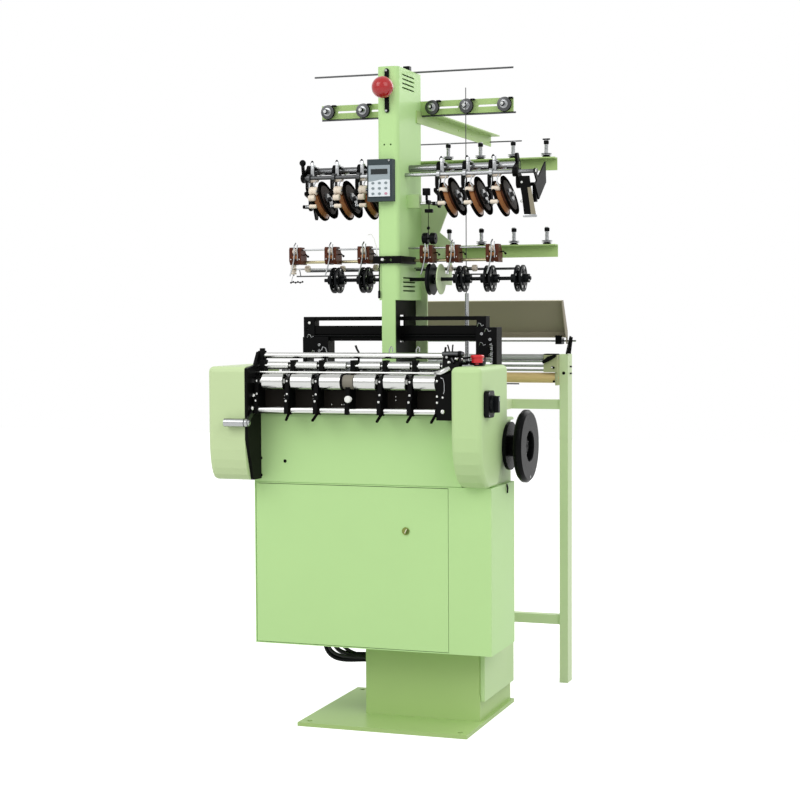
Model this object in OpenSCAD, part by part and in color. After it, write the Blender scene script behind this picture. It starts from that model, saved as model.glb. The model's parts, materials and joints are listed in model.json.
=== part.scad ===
// Narrow fabric loom with six weaving heads.
// Origin: centre of the floor plate, on the floor. +X to the right, +Y to the back, +Z up. Millimetres.

/* [Floor plate and pedestal] */
// Width of the floor plate
base_w = 560; // [500:10:640]
// Depth of the floor plate
base_d = 540; // [520:10:620]
// Thickness of the floor plate
base_t = 12; // [8:1:20]
// Distance from a floor bolt to the plate's edges
bolt_edge = 30; // [24:1:45]
// Radius of the floor bolt holes
bolt_r = 9; // [6:0.5:12]
// Width of the pedestal
ped_w = 384; // [340:2:420]
// Depth of the pedestal
ped_d = 354; // [300:2:354]
// Height of the pedestal
ped_h = 233; // [180:1:300]
// Depth of the pedestal's side cover
cover_d = 14; // [10:1:20]

/* [Cabinet] */
// Width of the cabinet
cab_w = 792; // [780:2:860]
// Depth of the cabinet
cab_d = 262; // [250:1:300]
// Height of the cabinet
cab_h = 520; // [500:2:600]
// Thickness of the sheet metal
sheet = 3; // [2:0.5:4]
// Width of the door
door_w = 644; // [600:2:660]
// Gap all round the door
door_gap = 2; // [1:0.5:3]
// Radius of the door's rolled hinge edge
roll_r = 4.5; // [4.5:0.25:6]
// Radius of the hinge pins
hinge_pin_r = 3; // [2:0.25:3.25]
// Radius of the lock's barrel
lock_r = 9; // [6:0.5:12]

/* [Bed and housings] */
// Height of the machine bed above the cabinet
bed_h = 245; // [220:1:270]
// Depth of the bed behind the cabinet
rear_d = 188; // [180:1:260]
// Width of the right housing
housing_w = 96; // [92:1:112]
// Height of the right housing
housing_h = 375; // [350:1:420]
// How far the housings stand in front of the cabinet
housing_reach = 110; // [105:1:140]
// Width of the left gear cover
gear_cover_w = 113; // [90:1:140]
// Radius of the housings' rounded edges
edge_r = 16; // [8:1:18]

/* [Main shaft] */
// Radius of the main shaft
shaft_r = 15; // [12:0.5:18]
// Radius of the handwheel
wheel_r = 115; // [100:1:125]
// Thickness of the handwheel
wheel_t = 27; // [20:1:34]
// Radius of the handwheel's dished opening
dish_r = 47; // [36:1:56]
// Radius of the disc behind the handwheel
back_disc_r = 76; // [60:1:78]

/* [Take-up] */
// Distance between neighbouring heads
head_pitch = 98; // [94:1:104]
// Distance between the two heads at the middle
mid_pitch = 114; // [108:1:124]
// Radius of the take-up rollers
roller_r = 26; // [20:0.5:27]
// Length of a take-up roller
roller_l = 72; // [60:1:76]
// Radius of the guide rollers
guide_r = 12.5; // [10:0.5:13]
// Length of a guide roller
guide_l = 70; // [60:1:74]
// Radius of the top bar
top_bar_r = 9.5; // [7:0.5:11]
// Radius of the release shaft
release_r = 10; // [8:0.5:10.5]
// Thickness of a divider
divider_t = 14; // [10:1:16]
// Length of the crank arm
crank_l = 72; // [71:1:90]

/* [Column] */
// Width of the column
col_w = 72; // [60:1:90]
// Depth of the column
col_d = 230; // [222:1:240]
// Height of the column's box
col_h = 750; // [700:2:800]
// Height of the open foot under the column's box
foot_h = 336; // [320:2:380]
// Wall of the column
col_wall = 4; // [3:0.5:6]
// Radius of the column's front corners
col_r = 18; // [10:1:24]

/* [Feeders] */
// Distance between neighbouring feed wheels
feed_pitch = 88; // [84:1:96]
// Radius of a feed wheel's right flange
feed_r = 66; // [58:1:67]
// Tilt of the feed wheels
feed_tilt = 20; // [10:1:24]
// Radius of the carrier tube
tube_r = 12; // [9:0.5:14]
// Radius of the feeder drive shaft
drive_r = 6.5; // [5:0.5:8]
// Radius of a weft wheel
weft_r = 43; // [34:1:44]
// Radius of the weft drive pulley
pulley_r = 52; // [46:1:52]

/* [Harness] */
// Number of heald frames
heald_n = 8; // [4:2:8]
// Distance between heald frames
heald_pitch = 10; // [9:0.5:10]
// Height of a heald frame
heald_h = 112; // [90:1:116]
// Height of the harness side castings
harness_h = 283; // [270:1:300]

/* [Rear frame] */
// Width of the rear frame over its legs
frame_w = 614; // [580:2:700]
// Distance from the origin to the front of the legs
frame_y = 610; // [560:5:700]
// Width of a leg
leg_w = 30; // [24:1:40]
// Depth of a leg
leg_d = 60; // [46:1:70]
// Height of the legs above the machine bed
leg_rise = 148; // [130:2:180]
// Radius of the wooden roller
wood_r = 18; // [14:0.5:22]
// Radius of the grey rear roller
rear_roller_r = 12.5; // [9:0.5:14]

/* [Hidden] */
$fn = 48;
fit = 0.05;          // radial clearance of a shaft in its bore
apart = 0.3;         // gap between curved faces that only pass each other

// Heights and edges that several parts share
ped_x1 = 267;
ped_x0 = ped_x1 - ped_w;
ped_y1 = base_d / 2;
ped_y0 = ped_y1 - ped_d;
cab_x1 = 340;
cab_x0 = cab_x1 - cab_w;
cab_y0 = -200;
cab_y1 = cab_y0 + cab_d;
cab_z0 = base_t + ped_h;
cab_z1 = cab_z0 + cab_h;
entry_y = ped_y0 + 60;
entry_z = cab_z0 - 62;
entry_r = 26;
entry_d = 20;
bed_z = cab_z1 + bed_h;
rear_y1 = cab_y1 + rear_d;
housing_x0 = cab_x1 - housing_w;
housing_y0 = cab_y0 - housing_reach;
housing_y1 = cab_y1 - 72;
housing_z1 = cab_z1 + housing_h;
leg_h = bed_z + leg_rise;

// Door
hinge_x = cab_x0 + sheet + 0.5 + roll_r;
hinge_y = cab_y0 + roll_r;
door_x1 = hinge_x + door_w;
door_z0 = cab_z0 + sheet + door_gap;
door_z1 = cab_z1 - sheet - door_gap;
door_lip = 12;
lock_x = door_x1 - 138;
lock_z = door_z1 - 136;

// Main shaft and its drive
main_y = -10;
main_z = cab_z1 + 118;
belt_x0 = housing_x0 + 24;
belt_w = 20;
motor_y = -60;
motor_r = 72;
motor_z = cab_z0 + sheet + 92;
motor_x0 = 40;
motor_pulley_r = 35;
main_pulley_r = 60;
recess = 12;
recess_r = 78;
recess_y = main_y + 25;
recess_z = main_z + 2;
wheel_x1 = cab_x1 + 72;

// Take-up
takeup_cx = -105;
takeup_y = cab_y0 - 50;
takeup_z = bed_z + 80;
guide_y = cab_y0 - 13;
guide_z = bed_z + 129;
top_bar_y = cab_y0 + 5;
top_bar_z = bed_z + 161;
thin_bar_y = cab_y0 - 28;
thin_bar_z = bed_z + 108;
thin_bar_r = 4.5;
guide_shaft_r = 5;
takeup_shaft_r = 10;
release_y = cab_y0 - 62;
release_z = bed_z - 9;
sleeve_r = 22;
sleeve_l = mid_pitch - roller_l - 4;
side_plate_t = 10;
side_plate_x1 = cab_x0 + 25;
end_x0 = housing_x0 - 53;
function head_x(i) = takeup_cx + (i < 3 ? -1 : 1) * mid_pitch / 2 + (i < 3 ? i - 2 : i - 3) * head_pitch;
divider_xs = concat([side_plate_x1 + 14], [for (i = [0, 1]) (head_x(i) + head_x(i + 1)) / 2], [takeup_cx],
    [for (i = [3, 4]) (head_x(i) + head_x(i + 1)) / 2]);

// Column
col_x1 = -28;
col_x0 = col_x1 - col_w;
col_cx = (col_x0 + col_x1) / 2;
col_z0 = bed_z + foot_h;
col_z1 = col_z0 + col_h;
strut_t = 8;
strip_w = 45;
strip_x0 = col_x0 + 14;

// Feeders: the upper group carries the feed wheels, the lower group the weft wheels
tube_y = 115;
tube_z = col_z0 + 430;
feed_y = tube_y;
feed_z = tube_z - 101;
drive_y = 70;
drive_z = tube_z - 24;
feed_xs = [for (i = [0 : 2]) col_x0 - 58 - (2 - i) * feed_pitch,
    for (i = [0 : 2]) col_x1 + 146 + i * feed_pitch];
feed_axle_r = 8;
feed_arm_x = 48;
feed_arm_z = feed_z - (feed_arm_x - 1) * sin(feed_tilt);
feeder_x0 = feed_xs[0] - 54;
feeder_x1 = feed_xs[5] + 42;
feeder_plate_x = feed_xs[5] + 110;
weft_y = 115;
weft_z = col_z0 + 68;
weft_shaft_r = 6;
weft_xs = [-286, -183, 152, 245, 347];
weft_pulley_x = 46;
block_xs = [-425, -298, -181, 36, 125, 260];
block_rod_z = col_z0 + 170;
clamp_rod_y = 128;
clamp_rod_z = col_z0 + 130;

// Harness
harness_y = 93;
harness_d = 60;
harness_top = bed_z + harness_h;
harness_x0 = cab_x0 + 62;
harness_x1 = cab_x1 - 58;
heald_y0 = -96;
heald_x0 = -330;
heald_x1 = 150;
heald_z0 = bed_z + 26;
heald_t = 4;
reed_y = -126;
reed_shaft_z = bed_z + 14;

// Upper arms and rear frame
bar_h = 46;
bar_z = col_z1 - 134;
bar_y = col_d;
bar_t = 6;
bar_x0 = -382;
bar_x1 = 292;
tensioner_xs = [-355, -228, 17, 135, 265];
beam_a = 41;
beam_t = 4;
upper_beam_z = col_z0 + 423;
lower_beam_z = col_z0 + 140;
arm_y1 = 1052;
rod_y0 = 182;
rod_x0 = 146;
pin_xs = [62, 174, 286, 398];
frame_cx = (ped_x0 + ped_x1) / 2;
frame_x0 = frame_cx - frame_w / 2;
frame_x1 = frame_cx + frame_w / 2;
rail = 33;
rear_roll_y = frame_y - 12;
tray_rod_z = leg_h + 46;

// Shapes that repeat ----------------------------------------------------------------------------------

// A rod along X
module rod_x(x0, x1, y, z, r) {
    translate([x0, y, z]) rotate([0, 90, 0]) cylinder(r = r, h = x1 - x0);
}

// A rod along Y
module rod_y(y0, y1, x, z, r) {
    translate([x, y1, z]) rotate([90, 0, 0]) cylinder(r = r, h = y1 - y0);
}

// A rod along Z
module rod_z(z0, z1, x, y, r) {
    translate([x, y, z0]) cylinder(r = r, h = z1 - z0);
}

// A box from its lowest to its highest corner
module box(a, b) {
    translate(a) cube(b - a);
}

// A plate of thickness t that starts at x0, from a side view whose points are [y, z]
module side_view(x0, t) {
    translate([x0, 0, 0]) rotate([90, 0, 90]) linear_extrude(t) children();
}

// A plate of thickness t that starts at y0, from a front view whose points are [x, z]
module front_view(y0, t) {
    translate([0, y0 + t, 0]) rotate([90, 0, 0]) linear_extrude(t) children();
}

// A flat bar with round ends between two points of a view
module link(a, b, r) {
    d = b - a;
    translate(a) rotate(atan2(d[1], d[0])) {
        translate([0, -r]) square([norm(d), 2 * r]);
        circle(r);
        translate([norm(d), 0]) circle(r);
    }
}

// An angle section along X: a flange along the top and a flange down the back
module angle_x(x0, x1, y, z1, a, t) {
    box([x0, y, z1 - t], [x1, y + a - t, z1]);
    box([x0, y + a - t, z1 - a], [x1, y + a, z1]);
}

// A solid from a side view, with its two flat ends rounded by r
module rounded_slab(x0, x1, r) {
    hull() {
        for (a = [0 : 22.5 : 90])
            side_view(x0 + r * (1 - sin(a)), x1 - x0 - 2 * r * (1 - sin(a)))
                offset(delta = -r * (1 - cos(a)))
                children();
    }
}

// Bottom ----------------------------------------------------------------------------------------------

module base_plate() {
    color("#a8cf87") difference() {
        box([-base_w / 2, -base_d / 2, 0], [base_w / 2, base_d / 2, base_t]);
        for (sx = [-1, 1], sy = [-1, 1])
            rod_z(-1, base_t + 1, sx * (base_w / 2 - bolt_edge), sy * (base_d / 2 - bolt_edge), bolt_r);
    }
}

// Closed welded box, drawn solid, with a round cable entry in its left side and a joint at its front
// right edge
module pedestal() {
    color("#a8cf87") difference() {
        box([ped_x0, ped_y0, base_t], [ped_x1, ped_y1, cab_z0]);
        rod_x(ped_x0 - 1, ped_x0 + entry_d, entry_y, entry_z, entry_r);
        box([ped_x1 - 3, ped_y0 - 1, cab_z0 - 150], [ped_x1 + 1, ped_y0 + 5, cab_z0]);
    }
}

// Folded tray over the openings in the pedestal's right side
module pedestal_cover() {
    z0 = base_t + 62;
    color("#b3d892") difference() {
        box([ped_x1, ped_y0 + 6, z0], [ped_x1 + cover_d, ped_y1 - 6, cab_z0]);
        box([ped_x1 - 1, ped_y0 + 8, z0 + 2], [ped_x1 + cover_d - 2, ped_y1 - 8, cab_z0 - 2]);
    }
}

// Cabinet ---------------------------------------------------------------------------------------------

module cabinet() {
    seam = 1.5;
    color("#b9de96") {
        difference() {
            box([cab_x0, cab_y0, cab_z0], [cab_x1, cab_y1, cab_z1]);
            box([cab_x0 + sheet, cab_y0 + sheet, cab_z0 + sheet],
                [cab_x1 - sheet, cab_y1 - sheet, cab_z1 - sheet]);
            box([cab_x0 + sheet, cab_y0 - 1, cab_z0 + sheet],
                [door_x1 + seam, cab_y0 + sheet + 1, cab_z1 - sheet]);
            box([belt_x0 - 8, main_y - 95, cab_z1 - sheet - 1],
                [belt_x0 + belt_w + 8, main_y + 66, cab_z1 + 1]);
        }
        rod_z(cab_z0 + sheet, door_z0 + 24, hinge_x, hinge_y, hinge_pin_r);
        rod_z(door_z1 - 24, cab_z1 - sheet, hinge_x, hinge_y, hinge_pin_r);
    }
}

// Door leaf with a rolled hinge edge and lips on its other three sides
module front_door() {
    color("#bbe098") difference() {
        union() {
            box([hinge_x, cab_y0, door_z0], [door_x1, cab_y0 + sheet, door_z1]);
            rod_z(door_z0, door_z1, hinge_x, hinge_y, roll_r);
            box([door_x1 - sheet, cab_y0, door_z0], [door_x1, cab_y0 + sheet + door_lip, door_z1]);
            for (z = [door_z0, door_z1 - sheet])
                box([hinge_x + 14, cab_y0, z], [door_x1, cab_y0 + sheet + door_lip, z + sheet]);
        }
        rod_z(door_z0 - 1, door_z1 + 1, hinge_x, hinge_y, hinge_pin_r + fit);
        rod_y(cab_y0 - 1, cab_y0 + sheet + 1, lock_x, lock_z, lock_r + fit);
    }
}

// Quarter-turn lock: flange, barrel and the tongue behind the door
module door_lock() {
    color("#b59a5a") {
        difference() {
            rod_y(cab_y0 - 3, cab_y0, lock_x, lock_z, lock_r + 3);
            box([lock_x - 1, cab_y0 - 4, lock_z - 5], [lock_x + 1, cab_y0 - 1.5, lock_z + 5]);
        }
        rod_y(cab_y0, cab_y0 + sheet + 16, lock_x, lock_z, lock_r);
        front_view(cab_y0 + sheet + 16, 4) link([lock_x, lock_z], [lock_x, lock_z + 46], 9);
    }
}

// Foot-mounted motor with cooling ribs and its shaft
module motor() {
    rib_n = 12;
    body_x1 = belt_x0 - 22;
    color("#5f6d60") {
        difference() {
            union() {
                rod_x(motor_x0, body_x1, motor_y, motor_z, motor_r - 8);
                rod_x(motor_x0, motor_x0 + 14, motor_y, motor_z, motor_r);
                rod_x(body_x1 - 14, body_x1, motor_y, motor_z, motor_r);
                for (i = [0 : rib_n - 1])
                    translate([0, motor_y, motor_z]) rotate([i * 360 / rib_n, 0, 0])
                        box([motor_x0 + 14, -2, motor_r - 12], [body_x1 - 14, 2, motor_r - 1]);
                box([motor_x0 + 26, motor_y - 62, cab_z0 + sheet],
                    [body_x1 - 26, motor_y + 62, cab_z0 + sheet + 10]);
                box([motor_x0 + 30, motor_y - 30, cab_z0 + sheet],
                    [body_x1 - 30, motor_y + 30, motor_z - 30]);
            }
            rod_x(motor_x0 + 40, body_x1 + 1, motor_y, motor_z, shaft_r - 3 + fit);
        }
    }
}

// Motor shaft and its pulley
module motor_pulley() {
    color("#8a8d90") {
        rod_x(motor_x0 + 42, belt_x0 + belt_w + 4, motor_y, motor_z, shaft_r - 3);
        rod_x(belt_x0 - 3, belt_x0, motor_y, motor_z, motor_pulley_r + 4);
        rod_x(belt_x0, belt_x0 + belt_w, motor_y, motor_z, motor_pulley_r);
        rod_x(belt_x0 + belt_w, belt_x0 + belt_w + 3, motor_y, motor_z, motor_pulley_r + 4);
    }
}

// Flat belt round both pulleys
module drive_belt() {
    color("#1a1a1b") difference() {
        belt_loop(5, belt_x0 + 0.5, belt_x0 + belt_w - 0.5);
        belt_loop(0, belt_x0, belt_x0 + belt_w);
    }
}

// Space inside the belt, grown by the belt's thickness for its outside
module belt_loop(grow, x0, x1) {
    hull() {
        rod_x(x0, x1, main_y, main_z, main_pulley_r + apart + grow, $fn = 96);
        rod_x(x0, x1, motor_y, motor_z, motor_pulley_r + apart + grow, $fn = 96);
    }
}

// Bed and housings ------------------------------------------------------------------------------------

// Cast bed: the front block on the cabinet and the deeper block behind it
module machine_bed() {
    color("#a9cc88") difference() {
        union() {
            box([cab_x0, cab_y0 + sheet, cab_z1], [housing_x0, cab_y1, bed_z]);
            box([cab_x0 + 22, cab_y1, cab_z0], [ped_x1 - 5, rear_y1, bed_z]);
        }
        rod_x(housing_x0 - 60, housing_x0 + 1, main_y, main_z, shaft_r + fit);
        box([heald_x0 - 20, heald_y0 - 6, bed_z - 40],
            [heald_x1 + 20, heald_y0 + heald_n * heald_pitch, bed_z + 1]);
    }
}

module front_panel() {
    hole_z = cab_z1 + 69;
    color("#b9de96") difference() {
        box([cab_x0, cab_y0, cab_z1 + 2], [housing_x0, cab_y0 + sheet, bed_z]);
        rod_y(cab_y0 - 1, cab_y0 + sheet + 1, cab_x0 + 107, hole_z, 5);
    }
}

// Side view shared by the housings: upright front, belly curving back to the cabinet
module housing_view(y0, y1, z0, z1, belly_h, belly_back) {
    polygon(concat([[y1, z0], [y1, z1 - edge_r]],
        [for (a = [0 : 30 : 90]) [y1 - edge_r + edge_r * cos(a), z1 - edge_r + edge_r * sin(a)]],
        [for (a = [90 : 30 : 180]) [y0 + edge_r + edge_r * cos(a), z1 - edge_r + edge_r * sin(a)]],
        [for (a = [0 : 15 : 90]) [y0 + belly_back * (1 - cos(a)), z0 + belly_h * (1 - sin(a))]]));
}

// Cast housing of the main drive: a tall front block and a lower block behind it, with the curved
// recess for the handwheel's disc
module right_housing() {
    belly_h = 160;
    color("#c3dfa4") difference() {
        union() {
            rounded_slab(housing_x0, cab_x1, edge_r)
                housing_view(housing_y0, housing_y1, cab_z1, housing_z1, belly_h, housing_reach);
            rounded_slab(housing_x0, cab_x1, edge_r / 2)
                translate([housing_y1 - 120, cab_z1])
                    square([cab_y1 - housing_y1 + 120, recess_z + recess_r + 8 - cab_z1]);
        }
        side_view(cab_x1 - recess, recess + 1) {
            translate([recess_y, recess_z]) circle(recess_r);
            polygon([[recess_y, recess_z + recess_r], [cab_y1 + 1, recess_z + recess_r],
                [cab_y1 + 1, cab_z1 - 1], [recess_y - recess_r - 75, cab_z1 - 1],
                [recess_y - recess_r, recess_z - 12]]);
        }
        rod_x(housing_x0 - 1, cab_x1 + 1, main_y, main_z, shaft_r + fit);
        side_view(belt_x0 - 6, belt_w + 12) {
            translate([main_y, main_z]) circle(main_pulley_r + 8);
            translate([main_y - 88, cab_z1 - 1]) square([154, main_z - cab_z1 + 1]);
        }
        rod_z(housing_z1 - 30, housing_z1 + 1, stop_x, stop_y, stop_stem_r + fit);
    }
}

// Gear cover on the left: a deep shell with a nose in front of the side plate
module gear_cover() {
    z0 = cab_z1 + 12;
    color("#cfe0b0") {
        rounded_slab(cab_x0 - gear_cover_w, cab_x0, edge_r)
            housing_view(housing_y0 + 5, cab_y1 - 42, z0, housing_z1 - 2, 132, 44);
        intersection() {
            side_view(cab_x0 - edge_r, edge_r + side_plate_x1 - side_plate_t - cab_x0)
                housing_view(housing_y0 + 5, cab_y1 - 42, z0, housing_z1 - 2, 132, 44);
            box([cab_x0 - 60, housing_y0 - 10, z0 - 10], [cab_x1, cab_y0, housing_z1]);
        }
    }
}

// Black plate that closes the left end of the take-up
module side_plate() {
    y0 = housing_y0 + 5;
    z0 = cab_z1 + 12;
    color("#1c1e1d") difference() {
        side_view(side_plate_x1 - side_plate_t, side_plate_t)
            polygon([[y0 + 44, z0], [cab_y0, z0], [cab_y0, bed_z], [cab_y0 + 40, bed_z],
                [cab_y0 + 40, bed_z + 100],
                [cab_y0 + 22, top_bar_z + 12], [cab_y0 - 12, top_bar_z + 12], [cab_y0 - 40, bed_z + 132],
                [y0, bed_z + 122],
                [y0, z0 + 132]]);
        takeup_bores(1);
    }
}

// Controls --------------------------------------------------------------------------------------------

switch_y = housing_y0 + 60;
switch_z = cab_z1 + 262;
switch_r = 27;
stop_x = cab_x1 - 50;
stop_y = -180;
stop_r = 21;
stop_stem_r = 8;
stop_travel = 6;

// Base of the rotary switch and collar of the stop button
module control_bases() {
    color("#2a2c2c") {
        difference() {
            side_view(cab_x1, 16) translate([switch_y, switch_z]) offset(r = 14)
                square([36, 54], center = true);
            rod_x(cab_x1 + 4, cab_x1 + 17, switch_y, switch_z, 6 + fit);
        }
        difference() {
            rod_z(housing_z1, housing_z1 + 4, stop_x, stop_y, 20);
            rod_z(housing_z1 - 1, housing_z1 + 5, stop_x, stop_y, stop_stem_r + fit);
        }
    }
}

// Rotary knob with its grip bar
module rotary_switch() {
    color("#1f2122") {
        rod_x(cab_x1 + 4, cab_x1 + 17, switch_y, switch_z, 6);
        rod_x(cab_x1 + 16.3, cab_x1 + 26, switch_y, switch_z, switch_r);
        box([cab_x1 + 26, switch_y - 8, switch_z - 25], [cab_x1 + 40, switch_y + 8, switch_z + 25]);
    }
}

// Mushroom head on its stem
module stop_button() {
    head_z = housing_z1 + 4.2 + stop_travel;
    color("#d01f24") {
        rod_z(head_z - 30, head_z + 1, stop_x, stop_y, stop_stem_r);
        translate([stop_x, stop_y, head_z]) rotate_extrude()
            polygon([[0, 0], [stop_r - 3, 0], [stop_r - 3, 14], [stop_r, 16], [stop_r, 21],
                [stop_r - 3, 24], [0, 25]]);
    }
}

// Dished handwheel, the disc and hub behind it, and the main shaft with its pulley
module handwheel() {
    x0 = wheel_x1 - wheel_t;
    lip = 8;
    color("#202223") {
        difference() {
            translate([x0, main_y, main_z]) rotate([0, 90, 0]) rotate_extrude($fn = 96)
                polygon([[0, 0], [wheel_r - lip, 0], [wheel_r, lip], [wheel_r, wheel_t - lip],
                    [wheel_r - lip, wheel_t], [dish_r + 3, wheel_t], [dish_r, wheel_t - 3],
                    [dish_r, 8], [20, 8], [20, 16], [0, 16]]);
            rod_x(wheel_x1 - wheel_t - 1, wheel_x1, main_y, main_z, 5);
        }
        rod_x(cab_x1 + 1, cab_x1 + 12, main_y, main_z, back_disc_r);
        rod_x(cab_x1 + 12, x0, main_y, main_z, 34);
        rod_x(housing_x0 - 50, cab_x1 + 1, main_y, main_z, shaft_r);
        rod_x(belt_x0, belt_x0 + belt_w, main_y, main_z, main_pulley_r);
    }
}

// Take-up ---------------------------------------------------------------------------------------------

// Bores for everything that runs through the dividers; grow = 1 also cuts the fixed bars' holes
module takeup_bores(grow) {
    x0 = cab_x0 - 1;
    x1 = housing_x0 + 1;
    rod_x(x0, x1, takeup_y, takeup_z, takeup_shaft_r + fit);
    rod_x(x0, x1, guide_y, guide_z, guide_shaft_r + fit * grow);
    rod_x(x0, x1, top_bar_y, top_bar_z, top_bar_r + fit * grow);
    rod_x(x0, x1, thin_bar_y, thin_bar_z, thin_bar_r + fit * grow);
    rod_x(x0, x1, release_y, release_z, release_r + fit);
}

// Side view of a divider: a nose under the roller shaft and a slim neck behind the thin bar
module divider_view() {
    front = takeup_y - takeup_shaft_r - 6;
    neck = thin_bar_y + thin_bar_r + 1.5;
    polygon([[front, bed_z + 26], [cab_y0, bed_z + 14], [cab_y0 + 12, bed_z + 14],
        [cab_y0 + 12, guide_z + 18], [guide_y - 9, guide_z + 18], [neck, thin_bar_z + 8],
        [neck, thin_bar_z - 8], [front, takeup_z + 10]]);
}

// Side view of the thick right end
module end_view() {
    front = cab_y0 - 86;
    foot = bed_z - 33;
    back = cab_y0 + 45;
    polygon([[front, foot], [cab_y0, foot], [cab_y0, bed_z], [back, bed_z], [back, bed_z + 110],
        [cab_y0 + 20, top_bar_z - 10], [cab_y0 + 20, top_bar_z + 14], [cab_y0 - 14, top_bar_z + 14],
        [cab_y0 - 20, bed_z + 148], [cab_y0 - 28, bed_z + 126], [front + 16, bed_z + 119],
        [front, bed_z + 103]]);
}

// Cast frame: beam on the bed with an apron down its front, dividers, a bearing sleeve at the middle
// and the thick right end
module takeup_frame() {
    beam_h = 86;
    apron_t = 12;
    color("#1b1d1c") difference() {
        union() {
            box([side_plate_x1, cab_y0, bed_z], [housing_x0, cab_y0 + 45, bed_z + beam_h]);
            box([side_plate_x1, cab_y0 - apron_t, bed_z - 24], [housing_x0, cab_y0, bed_z + 52]);
            for (x = divider_xs) side_view(x - divider_t / 2, divider_t) divider_view();
            for (x = divider_xs)
                box([x - divider_t / 2, release_y - release_r - 4, bed_z - 21],
                    [x + divider_t / 2, cab_y0 - 1, bed_z + 27]);
            rod_x(takeup_cx - sleeve_l / 2, takeup_cx + sleeve_l / 2, takeup_y, takeup_z, sleeve_r);
            side_view(end_x0, housing_x0 - end_x0) end_view();
        }
        takeup_bores(1);
    }
}

// Driven shaft with its six take-up rollers
module takeup_rollers() {
    color("#d9dcde") {
        rod_x(side_plate_x1 - side_plate_t + 1, end_x0 + 30, takeup_y, takeup_z, takeup_shaft_r);
        for (i = [0 : 5]) takeup_roller(head_x(i) - roller_l / 2);
    }
}

module takeup_roller(x0) {
    bevel = 2;
    translate([x0, takeup_y, takeup_z]) rotate([0, 90, 0]) rotate_extrude()
        polygon([[takeup_shaft_r - 1, 0], [roller_r - bevel, 0], [roller_r, bevel],
            [roller_r, roller_l - bevel], [roller_r - bevel, roller_l],
            [takeup_shaft_r - 1, roller_l]]);
}

// Six free rollers that run on the fixed guide shaft
module guide_rollers() {
    color("#d4d8da") for (i = [0 : 5])
        difference() {
            rod_x(head_x(i) - guide_l / 2, head_x(i) + guide_l / 2, guide_y, guide_z, guide_r);
            rod_x(head_x(i) - guide_l, head_x(i) + guide_l, guide_y, guide_z, guide_shaft_r + fit);
        }
}

// Fixed bars: top bar, thin bar and the guide rollers' shaft
module takeup_bars() {
    x0 = side_plate_x1 - side_plate_t;
    color("#e3e6e8") {
        rod_x(x0, housing_x0 - 6, top_bar_y, top_bar_z, top_bar_r);
        rod_x(x0, housing_x0 - 6, thin_bar_y, thin_bar_z, thin_bar_r);
        rod_x(x0, housing_x0 - 6, guide_y, guide_z, guide_shaft_r);
    }
}

// Release shaft: the bar, a hook lever beside each divider, the crank arm and its grip
module release_shaft() {
    arm_x = side_plate_x1 + 1;
    arm_t = 5;
    hub = lever_end(crank_l, 32.6);
    hook_xs = [for (d = divider_xs) if (d != takeup_cx && d > divider_xs[0]) d,
        end_x0 - divider_t / 2 - 8];
    color("#2b2d2e") {
        rod_x(arm_x, end_x0 + 26, release_y, release_z, release_r);
        difference() {
            side_view(arm_x, arm_t) {
                translate([release_y, release_z]) circle(14);
                link([release_y, release_z], hub, 8);
            }
            rod_x(arm_x - 1, arm_x + arm_t + 1, hub[0], hub[1], 3);
        }
        rod_x(arm_x - 4, arm_x + arm_t + 6, hub[0], hub[1], 12);
        rod_x(arm_x - 72, arm_x - 4, hub[0], hub[1], 13.5);
        for (x = hook_xs)
            side_view(x + divider_t / 2 + 0.5, 6) {
                translate([release_y, release_z]) circle(14);
                link([release_y, release_z],
                    x == hook_xs[0] ? lever_end(46, 39) : lever_end(64, 26), 3.5);
            }
    }
}

// End of a lever on the release shaft, in a side view
function lever_end(reach, fall) = [release_y - reach * cos(fall), release_z - reach * sin(fall)];

// Column ----------------------------------------------------------------------------------------------

// Outline of the column's box: square at the back, round at the front
module column_outline(inset) {
    r = col_r - inset;
    translate([col_x0 + col_r, inset]) square([col_w - 2 * col_r, col_d - 2 * inset]);
    translate([col_x0 + inset, col_r]) square([col_w - 2 * inset, col_d - col_r - inset]);
    for (x = [col_x0 + col_r, col_x1 - col_r]) translate([x, col_r]) circle(r);
}

// Welded column: closed box with louvres, on a flat strip at its front
module column() {
    slot_w = 60;
    color("#b7dc95") difference() {
        union() {
            translate([0, 0, col_z0]) linear_extrude(col_h) column_outline(0);
            box([strip_x0, 0, bed_z], [strip_x0 + strip_w, strut_t, col_z0 + 1]);
        }
        translate([0, 0, col_z0 + col_wall]) linear_extrude(col_h - 2 * col_wall)
            column_outline(col_wall);
        for (z0 = [col_z1 - 66, col_z0 + 28], i = [0 : 3])
            box([col_x1 - col_wall - 1, 45, z0 + i * 14], [col_x1 + 1, 45 + slot_w * 2, z0 + i * 14 + 5]);
        rod_x(col_x0 - 1, col_x1 + 1, tube_y, tube_z, tube_r + fit);
        rod_x(col_x0 - 1, col_x1 + 1, drive_y, drive_z, drive_r + fit);
        rod_x(col_x0 - 1, col_x1 + 1, weft_y, weft_z, weft_shaft_r + fit);
        weft_rods(fit);
        for (x = [col_cx - 11, col_cx + 11]) rod_y(-1, col_wall + 1, x, col_z1 - 250, 3);
    }
}

// Black plate from the front strip to the rear strut, with windows for the harness beams
module column_web() {
    x = strip_x0 + strip_w - 12;
    color("#232524") difference() {
        box([x, strut_t, bed_z], [x + 5, col_d, col_z0]);
        box([x - 1, harness_y - 22, harness_top - 84], [x + 6, harness_y + 22, harness_top + 5]);
        box([x - 1, 30, bed_z + 30], [x + 6, col_d - 40, bed_z + 120]);
    }
}

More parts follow.
